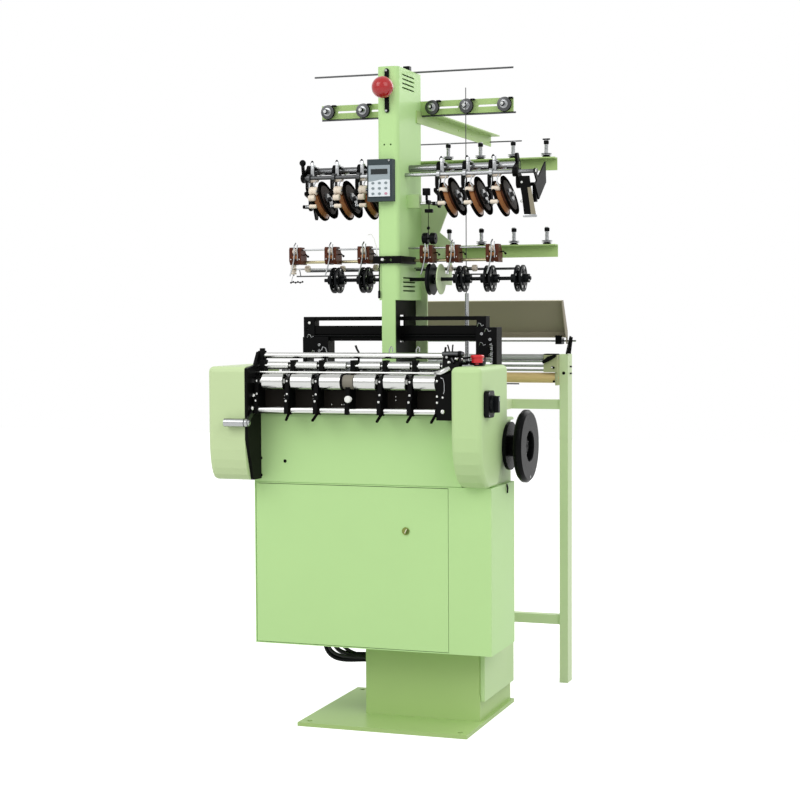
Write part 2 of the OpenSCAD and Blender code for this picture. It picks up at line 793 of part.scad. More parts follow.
// Flat post behind the column, with a gusset at its head and a guard over the weft pulley
module rear_strut() {
    x0 = -50;
    guard_x = weft_pulley_x + 34;
    gusset_z = col_z0 + 322;
    color("#c5dfae") {
        front_view(col_d, strut_t) {
            translate([x0, bed_z]) square([42, gusset_z - bed_z]);
            polygon([[-8, lower_beam_z], [guard_x, lower_beam_z], [guard_x, col_z0 + 190],
                [36, col_z0 + 226],
                [66, gusset_z - 22], [66, gusset_z], [-8, gusset_z]]);
        }
        difference() {
            side_view(guard_x - 3, 3) {
                translate([weft_y, weft_z]) circle(50);
                translate([weft_y, weft_z - 18]) square([col_d - weft_y, 36]);
                translate([col_d - 30, weft_z - 18]) square([30, lower_beam_z + 40 - weft_z]);
            }
            rod_x(guard_x - 4, guard_x + 1, weft_y, weft_z, weft_shaft_r + 2);
        }
    }
}

// Arms on the column: slotted tension bar, two pin beams and the rear arm
module column_arms() {
    color("#b7d99a") {
        difference() {
            box([bar_x0, bar_y, bar_z], [bar_x1, bar_y + bar_t, bar_z + bar_h]);
            for (x = [bar_x0 + 60, -200, 40, 175])
                front_view(bar_y - 1, bar_t + 2)
                    link([x, bar_z + bar_h / 2], [x + 60, bar_z + bar_h / 2], 3.5);
        }
        angle_x(col_x0, 430, col_d, upper_beam_z + beam_a, beam_a, beam_t);
        angle_x(-50, 430, col_d + strut_t, lower_beam_z + beam_a, beam_a, beam_t);
        difference() {
            union() {
                box([col_x1, col_d - 50, bar_z - 30], [col_x1 + beam_t, arm_y1, bar_z - 30 + beam_a]);
                box([col_x1, col_d + bar_t, bar_z - 30 + beam_a - beam_t],
                    [col_x1 + 38, arm_y1, bar_z - 30 + beam_a]);
            }
            rod_x(col_x1 - 1, col_x1 + beam_t + 1, arm_y1 - 14, bar_z - 14, 2.5 + fit);
            rod_x(col_x1 - 1, col_x1 + beam_t + 1, bar_y + 3, bar_z - 3, 3 + fit);
            for (y = [420, 640, 800]) rod_x(col_x1 - 1, col_x1 + beam_t + 1, y, bar_z - 10, 4);
        }
    }
}

// Thin steel rods: top rod with its clamp, rod under the tension bar, rear rod and the vertical rod
module guide_rods() {
    rod_top = col_z1 + 3;
    color("#8e9496") {
        rod_x(-391, 304, 190, rod_top, 3);
        box([col_cx - 8, 180, col_z1], [col_cx + 14, 200, col_z1 + 24]);
        rod_x(bar_x0, bar_x1 + 8, bar_y + 3, bar_z - 3, 3);
        rod_x(-300, 100, arm_y1 - 14, bar_z - 14, 2.5);
        rod_z(bed_z, col_z1 - 56, rod_x0 - 2, rod_y0, 1.5);
        rod_z(bed_z, harness_top + 75, rod_x0, rod_y0, 6.5);
    }
}

// Disc tensioner: spindle, two dished discs and a spring knob, pointing to the front
module disc_tensioner(x) {
    z = bar_z + bar_h / 2;
    translate([x, bar_y, z]) rotate([90, 0, 0]) rotate_extrude()
        polygon([[0, 0], [7, 0], [7, 10], [23, 14], [23, 15.5], [8, 17], [23, 18.5], [23, 20], [9, 22],
            [9, 34], [6, 36],
            [6, 44], [0, 44]]);
}

// Pin tensioner: two discs, spring and black knob on an upright pin
module pin_tensioner(x, y, z) {
    translate([x, y, z]) rotate_extrude()
        polygon([[0, 0], [6, 0], [6, 4], [18, 7], [18, 8.5], [8, 10], [18, 11.5], [18, 13], [5, 15],
            [5, 43], [8, 45], [8, 54], [6, 57], [0, 57]]);
}

// All thread tensioners of the arms
module thread_tensioners() {
    color("#c3c6c7") {
        for (x = tensioner_xs) disc_tensioner(x);
        for (x = pin_xs) {
            pin_tensioner(x, col_d + 20, upper_beam_z + beam_a);
            pin_tensioner(x, col_d + strut_t + 20, lower_beam_z + beam_a);
        }
    }
}

// Keypad of the drive: case with a raised face and nine keys
module keypad() {
    w = 86;
    h = 135;
    x0 = col_cx - 60;
    z0 = col_z0 + 317;
    color("#4c5357") {
        box([x0, -28, z0], [x0 + w, 0, z0 + h]);
        box([x0 + 6, -30, z0 + 18], [x0 + w - 12, -28, z0 + h - 10]);
        for (i = [0 : 2], j = [0 : 2])
            box([x0 + 12 + i * 22, -31.5, z0 + 26 + j * 18], [x0 + 22 + i * 22, -30, z0 + 34 + j * 18]);
    }
}

// Red ball on a post between two lugs
module signal_ball() {
    z = col_z1 - 72;
    color("#c81c20") {
        difference() {
            front_view(-6, 6) link([col_cx, col_z1 - 142], [col_cx, col_z1 - 14], 7);
            for (dz = [-142, -14]) rod_y(-7, 1, col_cx, col_z1 + dz, 3);
        }
        rod_y(-30, -6, col_cx, z, 8);
        translate([col_cx, -44, z]) sphere(r = 35);
    }
}

// Upper feeders ---------------------------------------------------------------------------------------

// Fixed rods of both feeder groups
module feeder_rods() {
    color("#c4c8ca") {
        rod_x(feeder_x0, feeder_x1 + 9, tube_y, tube_z, tube_r);
        weft_rods(0);
    }
}

// Rods that carry the weft guide blocks
module weft_rods(gap) {
    rod_x(-449, 282, 100, block_rod_z, 3 + gap);
    rod_x(-449, 282, clamp_rod_y, clamp_rod_z, 5 + gap);
    rod_x(-420, 320, 175, clamp_rod_z - 29, 4 + gap);
}

// Drive shaft with one grooved disc for each feed wheel
module feeder_drive_shaft() {
    color("#a9adb0") {
        rod_x(feeder_x0 - 4, feeder_plate_x + 12, drive_y, drive_z, drive_r);
        for (x = feed_xs) rod_x(x - 36, x - 26, drive_y, drive_z, 13);
    }
}

// Frame of one feed wheel: origin at the wheel's centre, its axis tilted up to the right
module at_feed_wheel(i) {
    translate([feed_xs[i], feed_y, feed_z]) rotate([0, -feed_tilt, 0]) children();
}

// Wheel turned from one piece: left flange, waisted drum, larger right flange and the axle through them
module feed_wheel(i) {
    left_r = feed_r - 5;
    color("#7c4a2c") at_feed_wheel(i) rotate([0, 90, 0]) rotate_extrude($fn = 64)
        polygon([[0, -55], [feed_axle_r, -55], [feed_axle_r, -24], [15, -24], [15, -18],
            [left_r - 1, -18], [left_r, -16], [left_r, -11], [left_r - 1, -9], [feed_r - 16, -8],
            [feed_r - 22, 3], [feed_r - 18, 15], [feed_r - 1, 16], [feed_r, 17], [feed_r, 21],
            [feed_r - 1, 22], [feed_r - 8, 22], [feed_r - 10, 19], [24, 19], [20, 26],
            [feed_axle_r, 26], [feed_axle_r, 34], [0, 34]]);
}

// Arm of one feed wheel: an upright lever from the carrier tube to the axle, with two thread guide
// stubs in front
module feeder_arm(i) {
    x0 = feed_xs[i] - feed_arm_x;
    t = 7;
    difference() {
        union() {
            side_view(x0, t) {
                translate([feed_y, feed_arm_z]) circle(13);
                link([feed_y, feed_arm_z], [tube_y, tube_z], 12);
                translate([tube_y, tube_z]) circle(21);
                link([feed_y, feed_z + 14], [feed_y - 42, feed_z + 26], 7);
                link([feed_y, feed_arm_z], [feed_y - 58, feed_arm_z - 2], 6);
            }
            rod_x(x0, x0 + 14, feed_y - 42, feed_z + 26, 5);
            rod_x(x0, x0 + 14, feed_y - 58, feed_arm_z - 2, 4.5);
        }
        rod_x(x0 - 1, x0 + t + 1, tube_y, tube_z, tube_r + fit);
        at_feed_wheel(i) rod_x(-64, -34, 0, 0, feed_axle_r + fit);
    }
}

// All arms, the lever at the left end and the levers and the plate at the right end
module feeder_arms() {
    knee = [drive_y + 45, drive_z - 38];
    color("#26282a") {
        for (i = [0 : 5]) feeder_arm(i);
        difference() {
            union() {
                side_view(feeder_x0, 6) {
                    link([tube_y, tube_z + 8], [tube_y + 42, feed_z + 4], 14);
                    link([tube_y + 42, feed_z + 4], [tube_y + 66, feed_z - 46], 10);
                    link([tube_y, tube_z], [drive_y, drive_z], 16);
                    link([drive_y, drive_z], [drive_y - 8, drive_z + 46], 8);
                }
                side_view(feeder_x1, 9) {
                    link([tube_y - 18, tube_z + 26], [tube_y, tube_z], 12);
                    link([tube_y, tube_z], [tube_y, feed_z + 44], 17);
                    link([tube_y, tube_z], [drive_y, drive_z], 16);
                }
                side_view(feeder_x1 + 9, 8) {
                    link([drive_y, drive_z], knee + [40, -14], 14);
                    link(knee + [40, -14], [tube_y + 72, feed_z - 34], 11);
                }
                side_view(feeder_plate_x, 5) {
                    link([drive_y, drive_z], knee, 9);
                    polygon([knee + [-46, -4], knee + [84, 78], knee + [91, 12], knee + [1, -49]]);
                }
            }
            rod_x(feeder_x0 - 10, feeder_x1 + 9, tube_y, tube_z, tube_r + fit);
            rod_x(feeder_x0 - 10, feeder_plate_x + 10, drive_y, drive_z, drive_r + fit);
        }
        rod_x(feeder_x1 + 17, feeder_plate_x, knee[0], knee[1], 6);
    }
}

// Lower feeders ---------------------------------------------------------------------------------------

// Black clamp round the column that steadies the lower rods
module rod_clamp() {
    z0 = clamp_rod_z - 12;
    color("#1e2021") difference() {
        union() {
            box([col_x0 - 12, -10, z0], [col_x1 + 12, 0, z0 + 24]);
            for (x = [col_x0 - 12, col_x1]) box([x, 0, z0], [x + 12, clamp_rod_y + 12, z0 + 24]);
        }
        for (x = [col_cx - 11, col_cx + 11]) rod_y(-11, 1, x, clamp_rod_z, 5);
        weft_rods(fit);
    }
}

// Brown guide blocks on the two upper weft rods: two cheeks joined by a low web
module weft_blocks() {
    color("#8a4f35") for (x = block_xs)
        difference() {
            union() {
                for (s = [-21, 9])
                    side_view(x + s, 12)
                        polygon([[84, clamp_rod_z + 4], [92, clamp_rod_z - 9], [138, clamp_rod_z - 9],
                            [138, clamp_rod_z + 22], [118, block_rod_z + 9], [88, block_rod_z + 9],
                            [84, block_rod_z + 2]]);
                box([x - 10, 96, clamp_rod_z - 6], [x + 10, 136, clamp_rod_z + 9]);
            }
            weft_rods(fit);
        }
}

// Weft shaft with five double wheels and the drive pulley
module weft_wheels() {
    color("#17191a") {
        rod_x(-330, 382, weft_y, weft_z, weft_shaft_r);
        for (x = weft_xs) weft_wheel(x);
        translate([weft_pulley_x - 7, weft_y, weft_z]) rotate([0, 90, 0]) rotate_extrude()
            polygon([[weft_shaft_r - 1, -9], [16, -9], [16, 0], [pulley_r, 0], [pulley_r - 5, 7],
                [pulley_r, 14],
                [16, 14], [16, 20], [weft_shaft_r - 1, 20]]);
    }
}

// Expanding wheel: a hub and two discs with five round holes each
module weft_wheel(x) {
    rod_x(x - 30, x + 30, weft_y, weft_z, 14);
    difference() {
        for (s = [-12, 6]) rod_x(x + s, x + s + 6, weft_y, weft_z, weft_r);
        for (a = [0 : 72 : 288])
            rod_x(x - 13, x + 13, weft_y + (weft_r - 14) * sin(a), weft_z - (weft_r - 14) * cos(a), 6);
    }
}

// Harness ---------------------------------------------------------------------------------------------

// Cast side of the harness: a windowed foot, and a narrower head that holds the beams
module harness_side(x0, x1, up0, up1, foot) {
    y0 = harness_y - harness_d / 2;
    y1 = harness_y + harness_d / 2;
    difference() {
        union() {
            box([x0, y0, bed_z], [x1, y1, bed_z + foot]);
            box([up0, y0 + 8, bed_z + foot], [up1, y1 - 8, harness_top]);
        }
        box([x0 + 16, y0 - 1, bed_z + 24], [x1 - 16, y1 + 1, bed_z + 150]);
    }
}

module harness_side_left() {
    color("#1d1f1f") difference() {
        harness_side(harness_x0, harness_x0 + 91, harness_x0, harness_x0 + 39, 216);
        beam_holes();
        rod_y(0, 200, harness_x0 + 13, harness_top - 42, 5);
    }
}

module harness_side_right() {
    color("#1d1f1f") difference() {
        harness_side(harness_x1 - 70, harness_x1, harness_x1 - 70, harness_x1 - 38, 247);
        beam_holes();
        for (z = [harness_top - 96, harness_top - 128]) rod_y(0, 200, harness_x1 - 22, z, 8);
    }
}

// Room for the beams in the side castings
module beam_holes() {
    box([harness_x0 + 20, harness_y - 17 - fit, harness_top - 80],
        [harness_x1 - 42, harness_y + 17 + fit, harness_top + 1]);
}

// Top beam and the double beam below it
module harness_beams() {
    x0 = harness_x0 + 20;
    x1 = harness_x1 - 42;
    color("#181a1a") {
        difference() {
            box([x0, harness_y - 17, harness_top - 80], [x1, harness_y + 17, harness_top]);
            box([x0 + 19, harness_y - 18, harness_top - 30], [x1 - 22, harness_y + 18, harness_top - 13]);
            box([x0 + 19, harness_y - 18, harness_top - 62], [x1 - 28, harness_y - 8, harness_top - 57]);
        }
    }
}

// One heald frame: two slats, two end bars and six bars between them
module heald_frame(i) {
    y = heald_y0 + i * heald_pitch;
    t = heald_t;
    slat = 12;
    step = (heald_x1 - heald_x0 - 16) / 7;
    difference() {
        box([heald_x0, y, heald_z0], [heald_x1, y + t, heald_z0 + heald_h]);
        for (k = [0 : 6])
            box([heald_x0 + 12 + k * step, y - 1, heald_z0 + slat],
                [heald_x0 + 4 + (k + 1) * step, y + t + 1, heald_z0 + heald_h - slat]);
    }
}

module heald_frames_even() {
    color("#b8bcbf") for (i = [0 : 2 : heald_n - 2]) heald_frame(i);
}

module heald_frames_odd() {
    color("#aab0b4") for (i = [1 : 2 : heald_n - 1]) heald_frame(i);
}

// Grooved blocks in which the heald frames slide, and the two bearings of the batten
module heald_guides() {
    h = heald_h + 20;
    color("#3a3d3f") for (x = [heald_x0 - 38, heald_x1 + 6])
        difference() {
            box([x, reed_y - 13, bed_z], [x + 12, reed_y + 13, bed_z + 27]);
            rod_x(x - 1, x + 13, reed_y, reed_shaft_z, 6 + fit);
        }
    color("#3a3d3f") for (side = [0, 1]) {
        x = side == 0 ? heald_x0 - 16 : heald_x1 - 6;
        difference() {
            box([x, heald_y0 - 6, bed_z - 40], [x + 22, heald_y0 + heald_n * heald_pitch, bed_z + h]);
            for (i = [0 : heald_n - 1])
                box([heald_x0 - 0.5, heald_y0 + i * heald_pitch - fit, bed_z - 36],
                    [heald_x1 + 0.5, heald_y0 + i * heald_pitch + heald_t + fit, bed_z + h + 1]);
        }
    }
}

// Rocking batten: a shaft on the bed, two arms and a reed with dents at each head
module reed_batten() {
    dent_n = 9;
    color("#9da2a5") {
        rod_x(heald_x0 - 40, heald_x1 + 20, reed_y, reed_shaft_z, 6);
        box([heald_x0 - 10, reed_y - 5, bed_z + 62], [heald_x1 - 4, reed_y + 5, bed_z + 76]);
        for (x = [heald_x0 + 4, heald_x1 - 28])
            box([x, reed_y - 5, reed_shaft_z], [x + 20, reed_y + 5, bed_z + 63]);
        for (h = [0 : 5])
            difference() {
                box([head_x(h) - 26, reed_y - 2, bed_z + 76], [head_x(h) + 26, reed_y + 2, bed_z + 128]);
                for (k = [0 : dent_n - 1])
                    box([head_x(h) - 22 + k * 5, reed_y - 3, bed_z + 84],
                        [head_x(h) - 19.5 + k * 5, reed_y + 3, bed_z + 120]);
            }
    }
}

// Rear frame ------------------------------------------------------------------------------------------

module rear_leg(x0) {
    difference() {
        box([x0, frame_y, 0], [x0 + leg_w, frame_y + leg_d, leg_h]);
        rod_y(frame_y - 1, frame_y + leg_d + 1, x0 + leg_w / 2, leg_h - 66, 5);
    }
}

module rear_leg_left() {
    color("#b4d893") rear_leg(frame_x0);
}

module rear_leg_right() {
    color("#b4d893") difference() {
        rear_leg(frame_x1 - leg_w);
        rod_x(frame_x1 - 8, frame_x1 + 1, frame_y + 24, leg_h - 30, 3);
    }
}

rail_zs = [cab_z0 - 40, cab_z1 + 200];
rail_xs = [ped_x0 + 12, ped_x1 - 122];

module rear_cross_bars() {
    color("#a9cc88") for (z = rail_zs)
        box([frame_x0 + leg_w, frame_y + 8, z], [frame_x1 - leg_w, frame_y + 8 + rail, z + rail]);
}

module rear_side_rails() {
    color("#a9cc88") for (z = rail_zs, x = rail_xs)
        box([x, z < cab_z0 ? ped_y1 : rear_y1, z], [x + rail, frame_y + 8, z + rail]);
}

// Inclined tray with folded lips and an ear at each end that stands on the rod below
module rear_tray() {
    x0 = frame_x0 + 48;
    x1 = frame_x1 - 4;
    top = [frame_y - 52, leg_h + 188];
    low = [frame_y + 12, leg_h + 78];
    color("#6f6d5c") {
        side_view(x0, x1 - x0)
            polygon([top, top + [4, 0], low + [4, 0], low + [4, -20], low + [0, -20], low]);
        for (x = [x0, x1 - 3]) side_view(x, 3)
            polygon([top, low, low + [0, -20], low + [-22, -20], top + [-20, 0]]);
        side_view(x0, x1 - x0)
            polygon([low + [0, -20], low + [0, -17], low + [-22, -17], low + [-22, -20]]);
        for (x = [x0, x1 - 3])
            difference() {
                box([x, low[0] - 10, tray_rod_z - 10], [x + 3, low[0] + 4, low[1] - 10]);
                rod_x(x - 1, x + 4, frame_y + 12, tray_rod_z, 3 + fit);
            }
    }
}

// Bearing bracket on the inner face of a leg: the bearing plate and a face plate in front of the
// rollers' ends
module rear_roller_bracket(plate_x, face_x) {
    y0 = rear_roll_y - 19;
    difference() {
        union() {
            box([plate_x, y0, leg_h - 108], [plate_x + 8, frame_y + 30, leg_h - 2]);
            box([face_x, y0 - 5, leg_h - 62], [face_x + 48, y0, leg_h - 2]);
        }
        rear_bores();
        rod_y(y0 - 6, y0 + 1, face_x + 30, leg_h - 44, 3.5);
    }
}

rear_in = [frame_x0 + leg_w, frame_x1 - leg_w];

module rear_bores() {
    rod_x(rear_in[0] - 1, rear_in[1] + 1, rear_roll_y, leg_h - 12, 6 + fit);
    rod_x(rear_in[0] - 1, rear_in[1] + 1, rear_roll_y, leg_h - 82, 6 + fit);
    rear_rod_set(fit);
}

module rear_roller_brackets() {
    color("#9db37c") {
        rear_roller_bracket(rear_in[1] - 8, rear_in[1] - 48);
        rear_roller_bracket(rear_in[0], rear_in[0]);
    }
}

// The three fixed rods between the brackets
module rear_rod_set(gap) {
    for (p = [[-14, -24, 4], [-12, -40, 4.5], [-14, -55, 4]])
        rod_x(rear_in[0] + 1 - gap, rear_in[1] - 1 + gap, rear_roll_y + p[0], leg_h + p[1], p[2] + gap);
}

// Fixed rods, and the tray's rod with its clamp between two posts on the legs
module rear_rods() {
    lip_z = leg_h + 58;
    color("#b5b9bb") {
        rear_rod_set(0);
        rod_x(frame_x0 - 6, frame_x1 + 26, frame_y + 12, tray_rod_z, 3);
        side_view(frame_x1 - 40, 22)
            polygon([[frame_y - 20, tray_rod_z - 11], [frame_y + 20, tray_rod_z - 11],
                [frame_y + 20, lip_z - 2], [frame_y - 13, lip_z - 2], [frame_y - 13, lip_z + 8],
                [frame_y - 20, lip_z + 8]]);
        rear_post(frame_x0 + 7, -13);
        rear_post(frame_x1 - 7, 13);
    }
}

// Short post on a leg that leans outwards to the tray's rod
module rear_post(x, lean) {
    r = 3.5;
    rod_z(leg_h, leg_h + 6, x, frame_y + 12, r);
    translate([x, frame_y + 12, leg_h + 5]) rotate([0, lean, 0])
        cylinder(r = r, h = tray_rod_z - leg_h + 14);
}

module rear_roller() {
    color("#9aa0a2") {
        rod_x(rear_in[0] + 1, rear_in[1] - 1, rear_roll_y, leg_h - 12, 6);
        rod_x(rear_in[0] + 12, rear_in[1] - 12, rear_roll_y, leg_h - 12, rear_roller_r);
    }
}

module wooden_roller() {
    color("#c8a768") {
        rod_x(rear_in[0] + 1, rear_in[1] - 1, rear_roll_y, leg_h - 82, 6);
        rod_x(rear_in[0] + 9, rear_in[1] - 9, rear_roll_y, leg_h - 82, wood_r);
    }
}

// Cables ----------------------------------------------------------------------------------------------

// Points of a cable that drops from the cabinet's floor and turns into the pedestal's side
function cable_path(dx, dy, sag) =
    let (start = [ped_x0 - 152 + dx, entry_y + dy, cab_z0],
        end = [ped_x0 + entry_d, entry_y + dy, entry_z])
    let (a = start - [0, 0, 8], b = end - [entry_d + 8, 0, 0])
    concat([start], [for (i = [0 : 12]) let (t = i / 12, u = 1 - t)
        a * pow(u, 3) + (a - [0, 0, sag]) * 3 * u * u * t + (b - [60, 0, 0]) * 3 * u * t * t
            + b * pow(t, 3)], [end]);

// A tube swept along a path that lies close to the XZ plane
module sweep(path, r, sides) {
    n = len(path);
    function dir(i) = let (d = path[min(i + 1, n - 1)] - path[max(i - 1, 0)]) d / norm(d);
    function ring(i) = let (d = dir(i), side = [0, 1, 0], up = cross(d, side), step = 360 / sides)
        [for (k = [0 : sides - 1]) path[i] + r * (side * cos(k * step) + up * sin(k * step))];
    polyhedron(
        points = [for (i = [0 : n - 1]) each ring(i)],
        faces = concat([[for (k = [0 : sides - 1]) k]],
            [[for (k = [sides - 1 : -1 : 0]) (n - 1) * sides + k]],
            [for (i = [0 : n - 2], k = [0 : sides - 1])
                [i * sides + k, (i + 1) * sides + k, (i + 1) * sides + (k + 1) % sides,
                    i * sides + (k + 1) % sides]]));
}

module cable_loop() {
    color("#17181a") for (c = [[0, -14, 70], [16, 0, 52], [34, 14, 36]])
        sweep(cable_path(c[0], c[1], c[2]), 5.5, 10);
}

// Nodes -----------------------------------------------------------------------------------------------

base_plate();
pedestal();
pedestal_cover();
cabinet();
front_door();
door_lock();
machine_bed();
front_panel();
right_housing();
gear_cover();
side_plate();
handwheel();
rotary_switch();
control_bases();
stop_button();
takeup_frame();
takeup_rollers();
guide_rollers();
takeup_bars();
release_shaft();
column();
column_web();
rear_strut();
column_arms();
guide_rods();
thread_tensioners();
keypad();
signal_ball();
feeder_rods();
feeder_drive_shaft();
feeder_arms();
feed_wheel(0);  // feed_wheel_1
feed_wheel(1);  // feed_wheel_2
feed_wheel(2);  // feed_wheel_3
feed_wheel(3);  // feed_wheel_4
feed_wheel(4);  // feed_wheel_5
feed_wheel(5);  // feed_wheel_6
rod_clamp();
weft_blocks();
weft_wheels();
harness_side_left();
harness_side_right();
harness_beams();
heald_frames_even();
heald_frames_odd();
heald_guides();
reed_batten();
rear_leg_left();
rear_leg_right();
rear_cross_bars();
rear_side_rails();
rear_tray();
rear_roller_brackets();
rear_rods();
rear_roller();
wooden_roller();
cable_loop();
motor();
motor_pulley();
drive_belt();
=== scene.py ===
"""Looks of the narrow fabric loom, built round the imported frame. Pieces are drawn in millimetres, +Z up."""

import json
import math

import bmesh
import bpy
from mathutils import Matrix, Vector


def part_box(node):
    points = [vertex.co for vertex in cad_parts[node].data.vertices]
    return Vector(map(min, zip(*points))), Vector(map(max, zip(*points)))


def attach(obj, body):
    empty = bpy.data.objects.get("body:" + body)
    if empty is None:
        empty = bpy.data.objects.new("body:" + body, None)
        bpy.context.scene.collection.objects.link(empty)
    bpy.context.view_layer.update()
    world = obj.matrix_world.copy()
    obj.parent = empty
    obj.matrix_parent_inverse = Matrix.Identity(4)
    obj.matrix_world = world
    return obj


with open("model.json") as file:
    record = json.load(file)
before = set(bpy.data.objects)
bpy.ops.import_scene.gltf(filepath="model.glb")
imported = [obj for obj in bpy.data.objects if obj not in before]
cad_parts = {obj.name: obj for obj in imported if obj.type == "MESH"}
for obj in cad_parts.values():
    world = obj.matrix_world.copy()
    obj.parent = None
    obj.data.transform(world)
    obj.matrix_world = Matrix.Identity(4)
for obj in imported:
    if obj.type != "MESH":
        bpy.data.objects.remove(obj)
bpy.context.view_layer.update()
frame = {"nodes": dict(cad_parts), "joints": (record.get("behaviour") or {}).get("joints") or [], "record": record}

MM = 0.001
ROOT = "frame"
X = Vector((1, 0, 0))
Y = Vector((0, 1, 0))
Z = Vector((0, 0, 1))


# Camera, placed in metres -------------------------------------------------------------------------

CAMERA_AT = (1.812, -5.238, 1.300)
CAMERA_TURN = math.radians(19.33)
CAMERA_DIP = math.radians(2.857)
CAMERA_ROLL = math.radians(-0.2837)
CAMERA_LENS = 77.292
CAMERA_SENSOR = 36
CAMERA_REACH = 100


def make_camera():
    ahead = Vector((-math.sin(CAMERA_TURN), math.cos(CAMERA_TURN), 0))
    side = Vector((math.cos(CAMERA_TURN), math.sin(CAMERA_TURN), 0))
    look = ahead * math.cos(CAMERA_DIP) - Z * math.sin(CAMERA_DIP)
    up = Z * math.cos(CAMERA_DIP) + ahead * math.sin(CAMERA_DIP)
    right = side * math.cos(CAMERA_ROLL) + up * math.sin(CAMERA_ROLL)
    up = up * math.cos(CAMERA_ROLL) - side * math.sin(CAMERA_ROLL)
    data = bpy.data.cameras.new("camera")
    data.lens = CAMERA_LENS
    data.sensor_width = CAMERA_SENSOR
    data.clip_end = CAMERA_REACH
    camera = bpy.data.objects.new("camera", data)
    turn = Matrix((right, up, -look)).transposed().to_4x4()
    camera.matrix_world = Matrix.Translation(CAMERA_AT) @ turn
    bpy.context.scene.collection.objects.link(camera)
    bpy.context.scene.camera = camera


# Light and floor, in metres -----------------------------------------------------------------------

WHITE = (1, 1, 1, 1)
WORLD_GLOW = 0.80
FLOOR_GLOW = 0.72
FLOOR_SHADE = 0.6
FLOOR_SIZE = 24
FLOOR_DROP = 0.0005
# Name, place, target, size and watts of each square lamp
LAMPS = (
    ("key", (-2.6, -4.2, 4.4), (0, 0, 1.2), 3.4, 102),
    ("fill", (3.3, -2.4, 3.9), (0, 0, 1.8), 3.0, 56),
    ("back", (1.5, 4.0, 3.8), (0, 0.2, 1.0), 3.0, 60),
)


def area_light(name, place, target, size, power):
    data = bpy.data.lights.new(name, "AREA")
    data.shape = "SQUARE"
    data.size = size
    data.energy = power
    lamp = bpy.data.objects.new(name, data)
    lamp.location = place
    aim = Vector(target) - Vector(place)
    lamp.rotation_mode = "QUATERNION"
    lamp.rotation_quaternion = aim.to_track_quat("-Z", "Y")
    bpy.context.scene.collection.objects.link(lamp)


def larger(nodes, links, a, b):
    """The larger of two values."""
    pick = nodes.new("ShaderNodeMath")
    pick.operation = "MAXIMUM"
    links.new(a, pick.inputs[0])
    links.new(b, pick.inputs[1])
    return pick.outputs[0]


def seen_rays(nodes, links):
    """1 for the rays that show the background: the camera's own, and those off metal or through glass."""
    rays = nodes.new("ShaderNodeLightPath").outputs
    direct = larger(nodes, links, rays["Is Camera Ray"], rays["Is Glossy Ray"])
    return larger(nodes, links, direct, rays["Is Transmission Ray"])


def make_world():
    world = bpy.data.worlds.new("studio")
    bpy.context.scene.world = world
    world.use_nodes = True
    nodes = world.node_tree.nodes
    links = world.node_tree.links
    nodes.clear()
    out = nodes.new("ShaderNodeOutputWorld")
    mix = nodes.new("ShaderNodeMixShader")
    links.new(seen_rays(nodes, links), mix.inputs["Fac"])
    for slot, strength in ((1, WORLD_GLOW), (2, 1.0)):
        glow = nodes.new("ShaderNodeBackground")
        glow.inputs["Color"].default_value = WHITE
        glow.inputs["Strength"].default_value = strength
        links.new(glow.outputs[0], mix.inputs[slot])
    links.new(mix.outputs[0], out.inputs["Surface"])


def make_floor():
    bpy.ops.mesh.primitive_plane_add(size=FLOOR_SIZE, location=(0, 0, -FLOOR_DROP))
    floor = bpy.context.object
    floor.name = "studio_floor"
    m = bpy.data.materials.new("floor")
    m.use_nodes = True
    nodes = m.node_tree.nodes
    links = m.node_tree.links
    nodes.clear()
    out = nodes.new("ShaderNodeOutputMaterial")
    diffuse = nodes.new("ShaderNodeBsdfDiffuse")
    diffuse.inputs["Color"].default_value = (FLOOR_SHADE, FLOOR_SHADE, FLOOR_SHADE, 1)
    glow = nodes.new("ShaderNodeEmission")
    glow.inputs["Color"].default_value = WHITE
    strength = nodes.new("ShaderNodeMath")
    strength.operation = "MULTIPLY"
    strength.inputs[1].default_value = FLOOR_GLOW
    add = nodes.new("ShaderNodeAddShader")
    links.new(seen_rays(nodes, links), strength.inputs[0])
    links.new(strength.outputs[0], glow.inputs["Strength"])
    links.new(diffuse.outputs[0], add.inputs[0])
    links.new(glow.outputs[0], add.inputs[1])
    links.new(add.outputs[0], out.inputs["Surface"])
    floor.data.materials.append(m)


# Materials ----------------------------------------------------------------------------------------

MATERIALS = {}
COAT_ROUGH = 0.14
FINE_DETAIL = 4.0
BROAD_DETAIL = 3.0


def linear(rgb):
    """A colour of 0 to 255 in sRGB as linear light."""
    def one(v):
        v = v / 255
        return v / 12.92 if v <= 0.04045 else ((v + 0.055) / 1.055) ** 2.4
    return [one(v) for v in rgb]


def noise(nodes, links, where, scale, detail, distortion=0.0):
    made = nodes.new("ShaderNodeTexNoise")
    made.inputs["Scale"].default_value = scale
    made.inputs["Detail"].default_value = detail
    made.inputs["Distortion"].default_value = distortion
    links.new(where, made.inputs["Vector"])
    return made.outputs["Fac"]


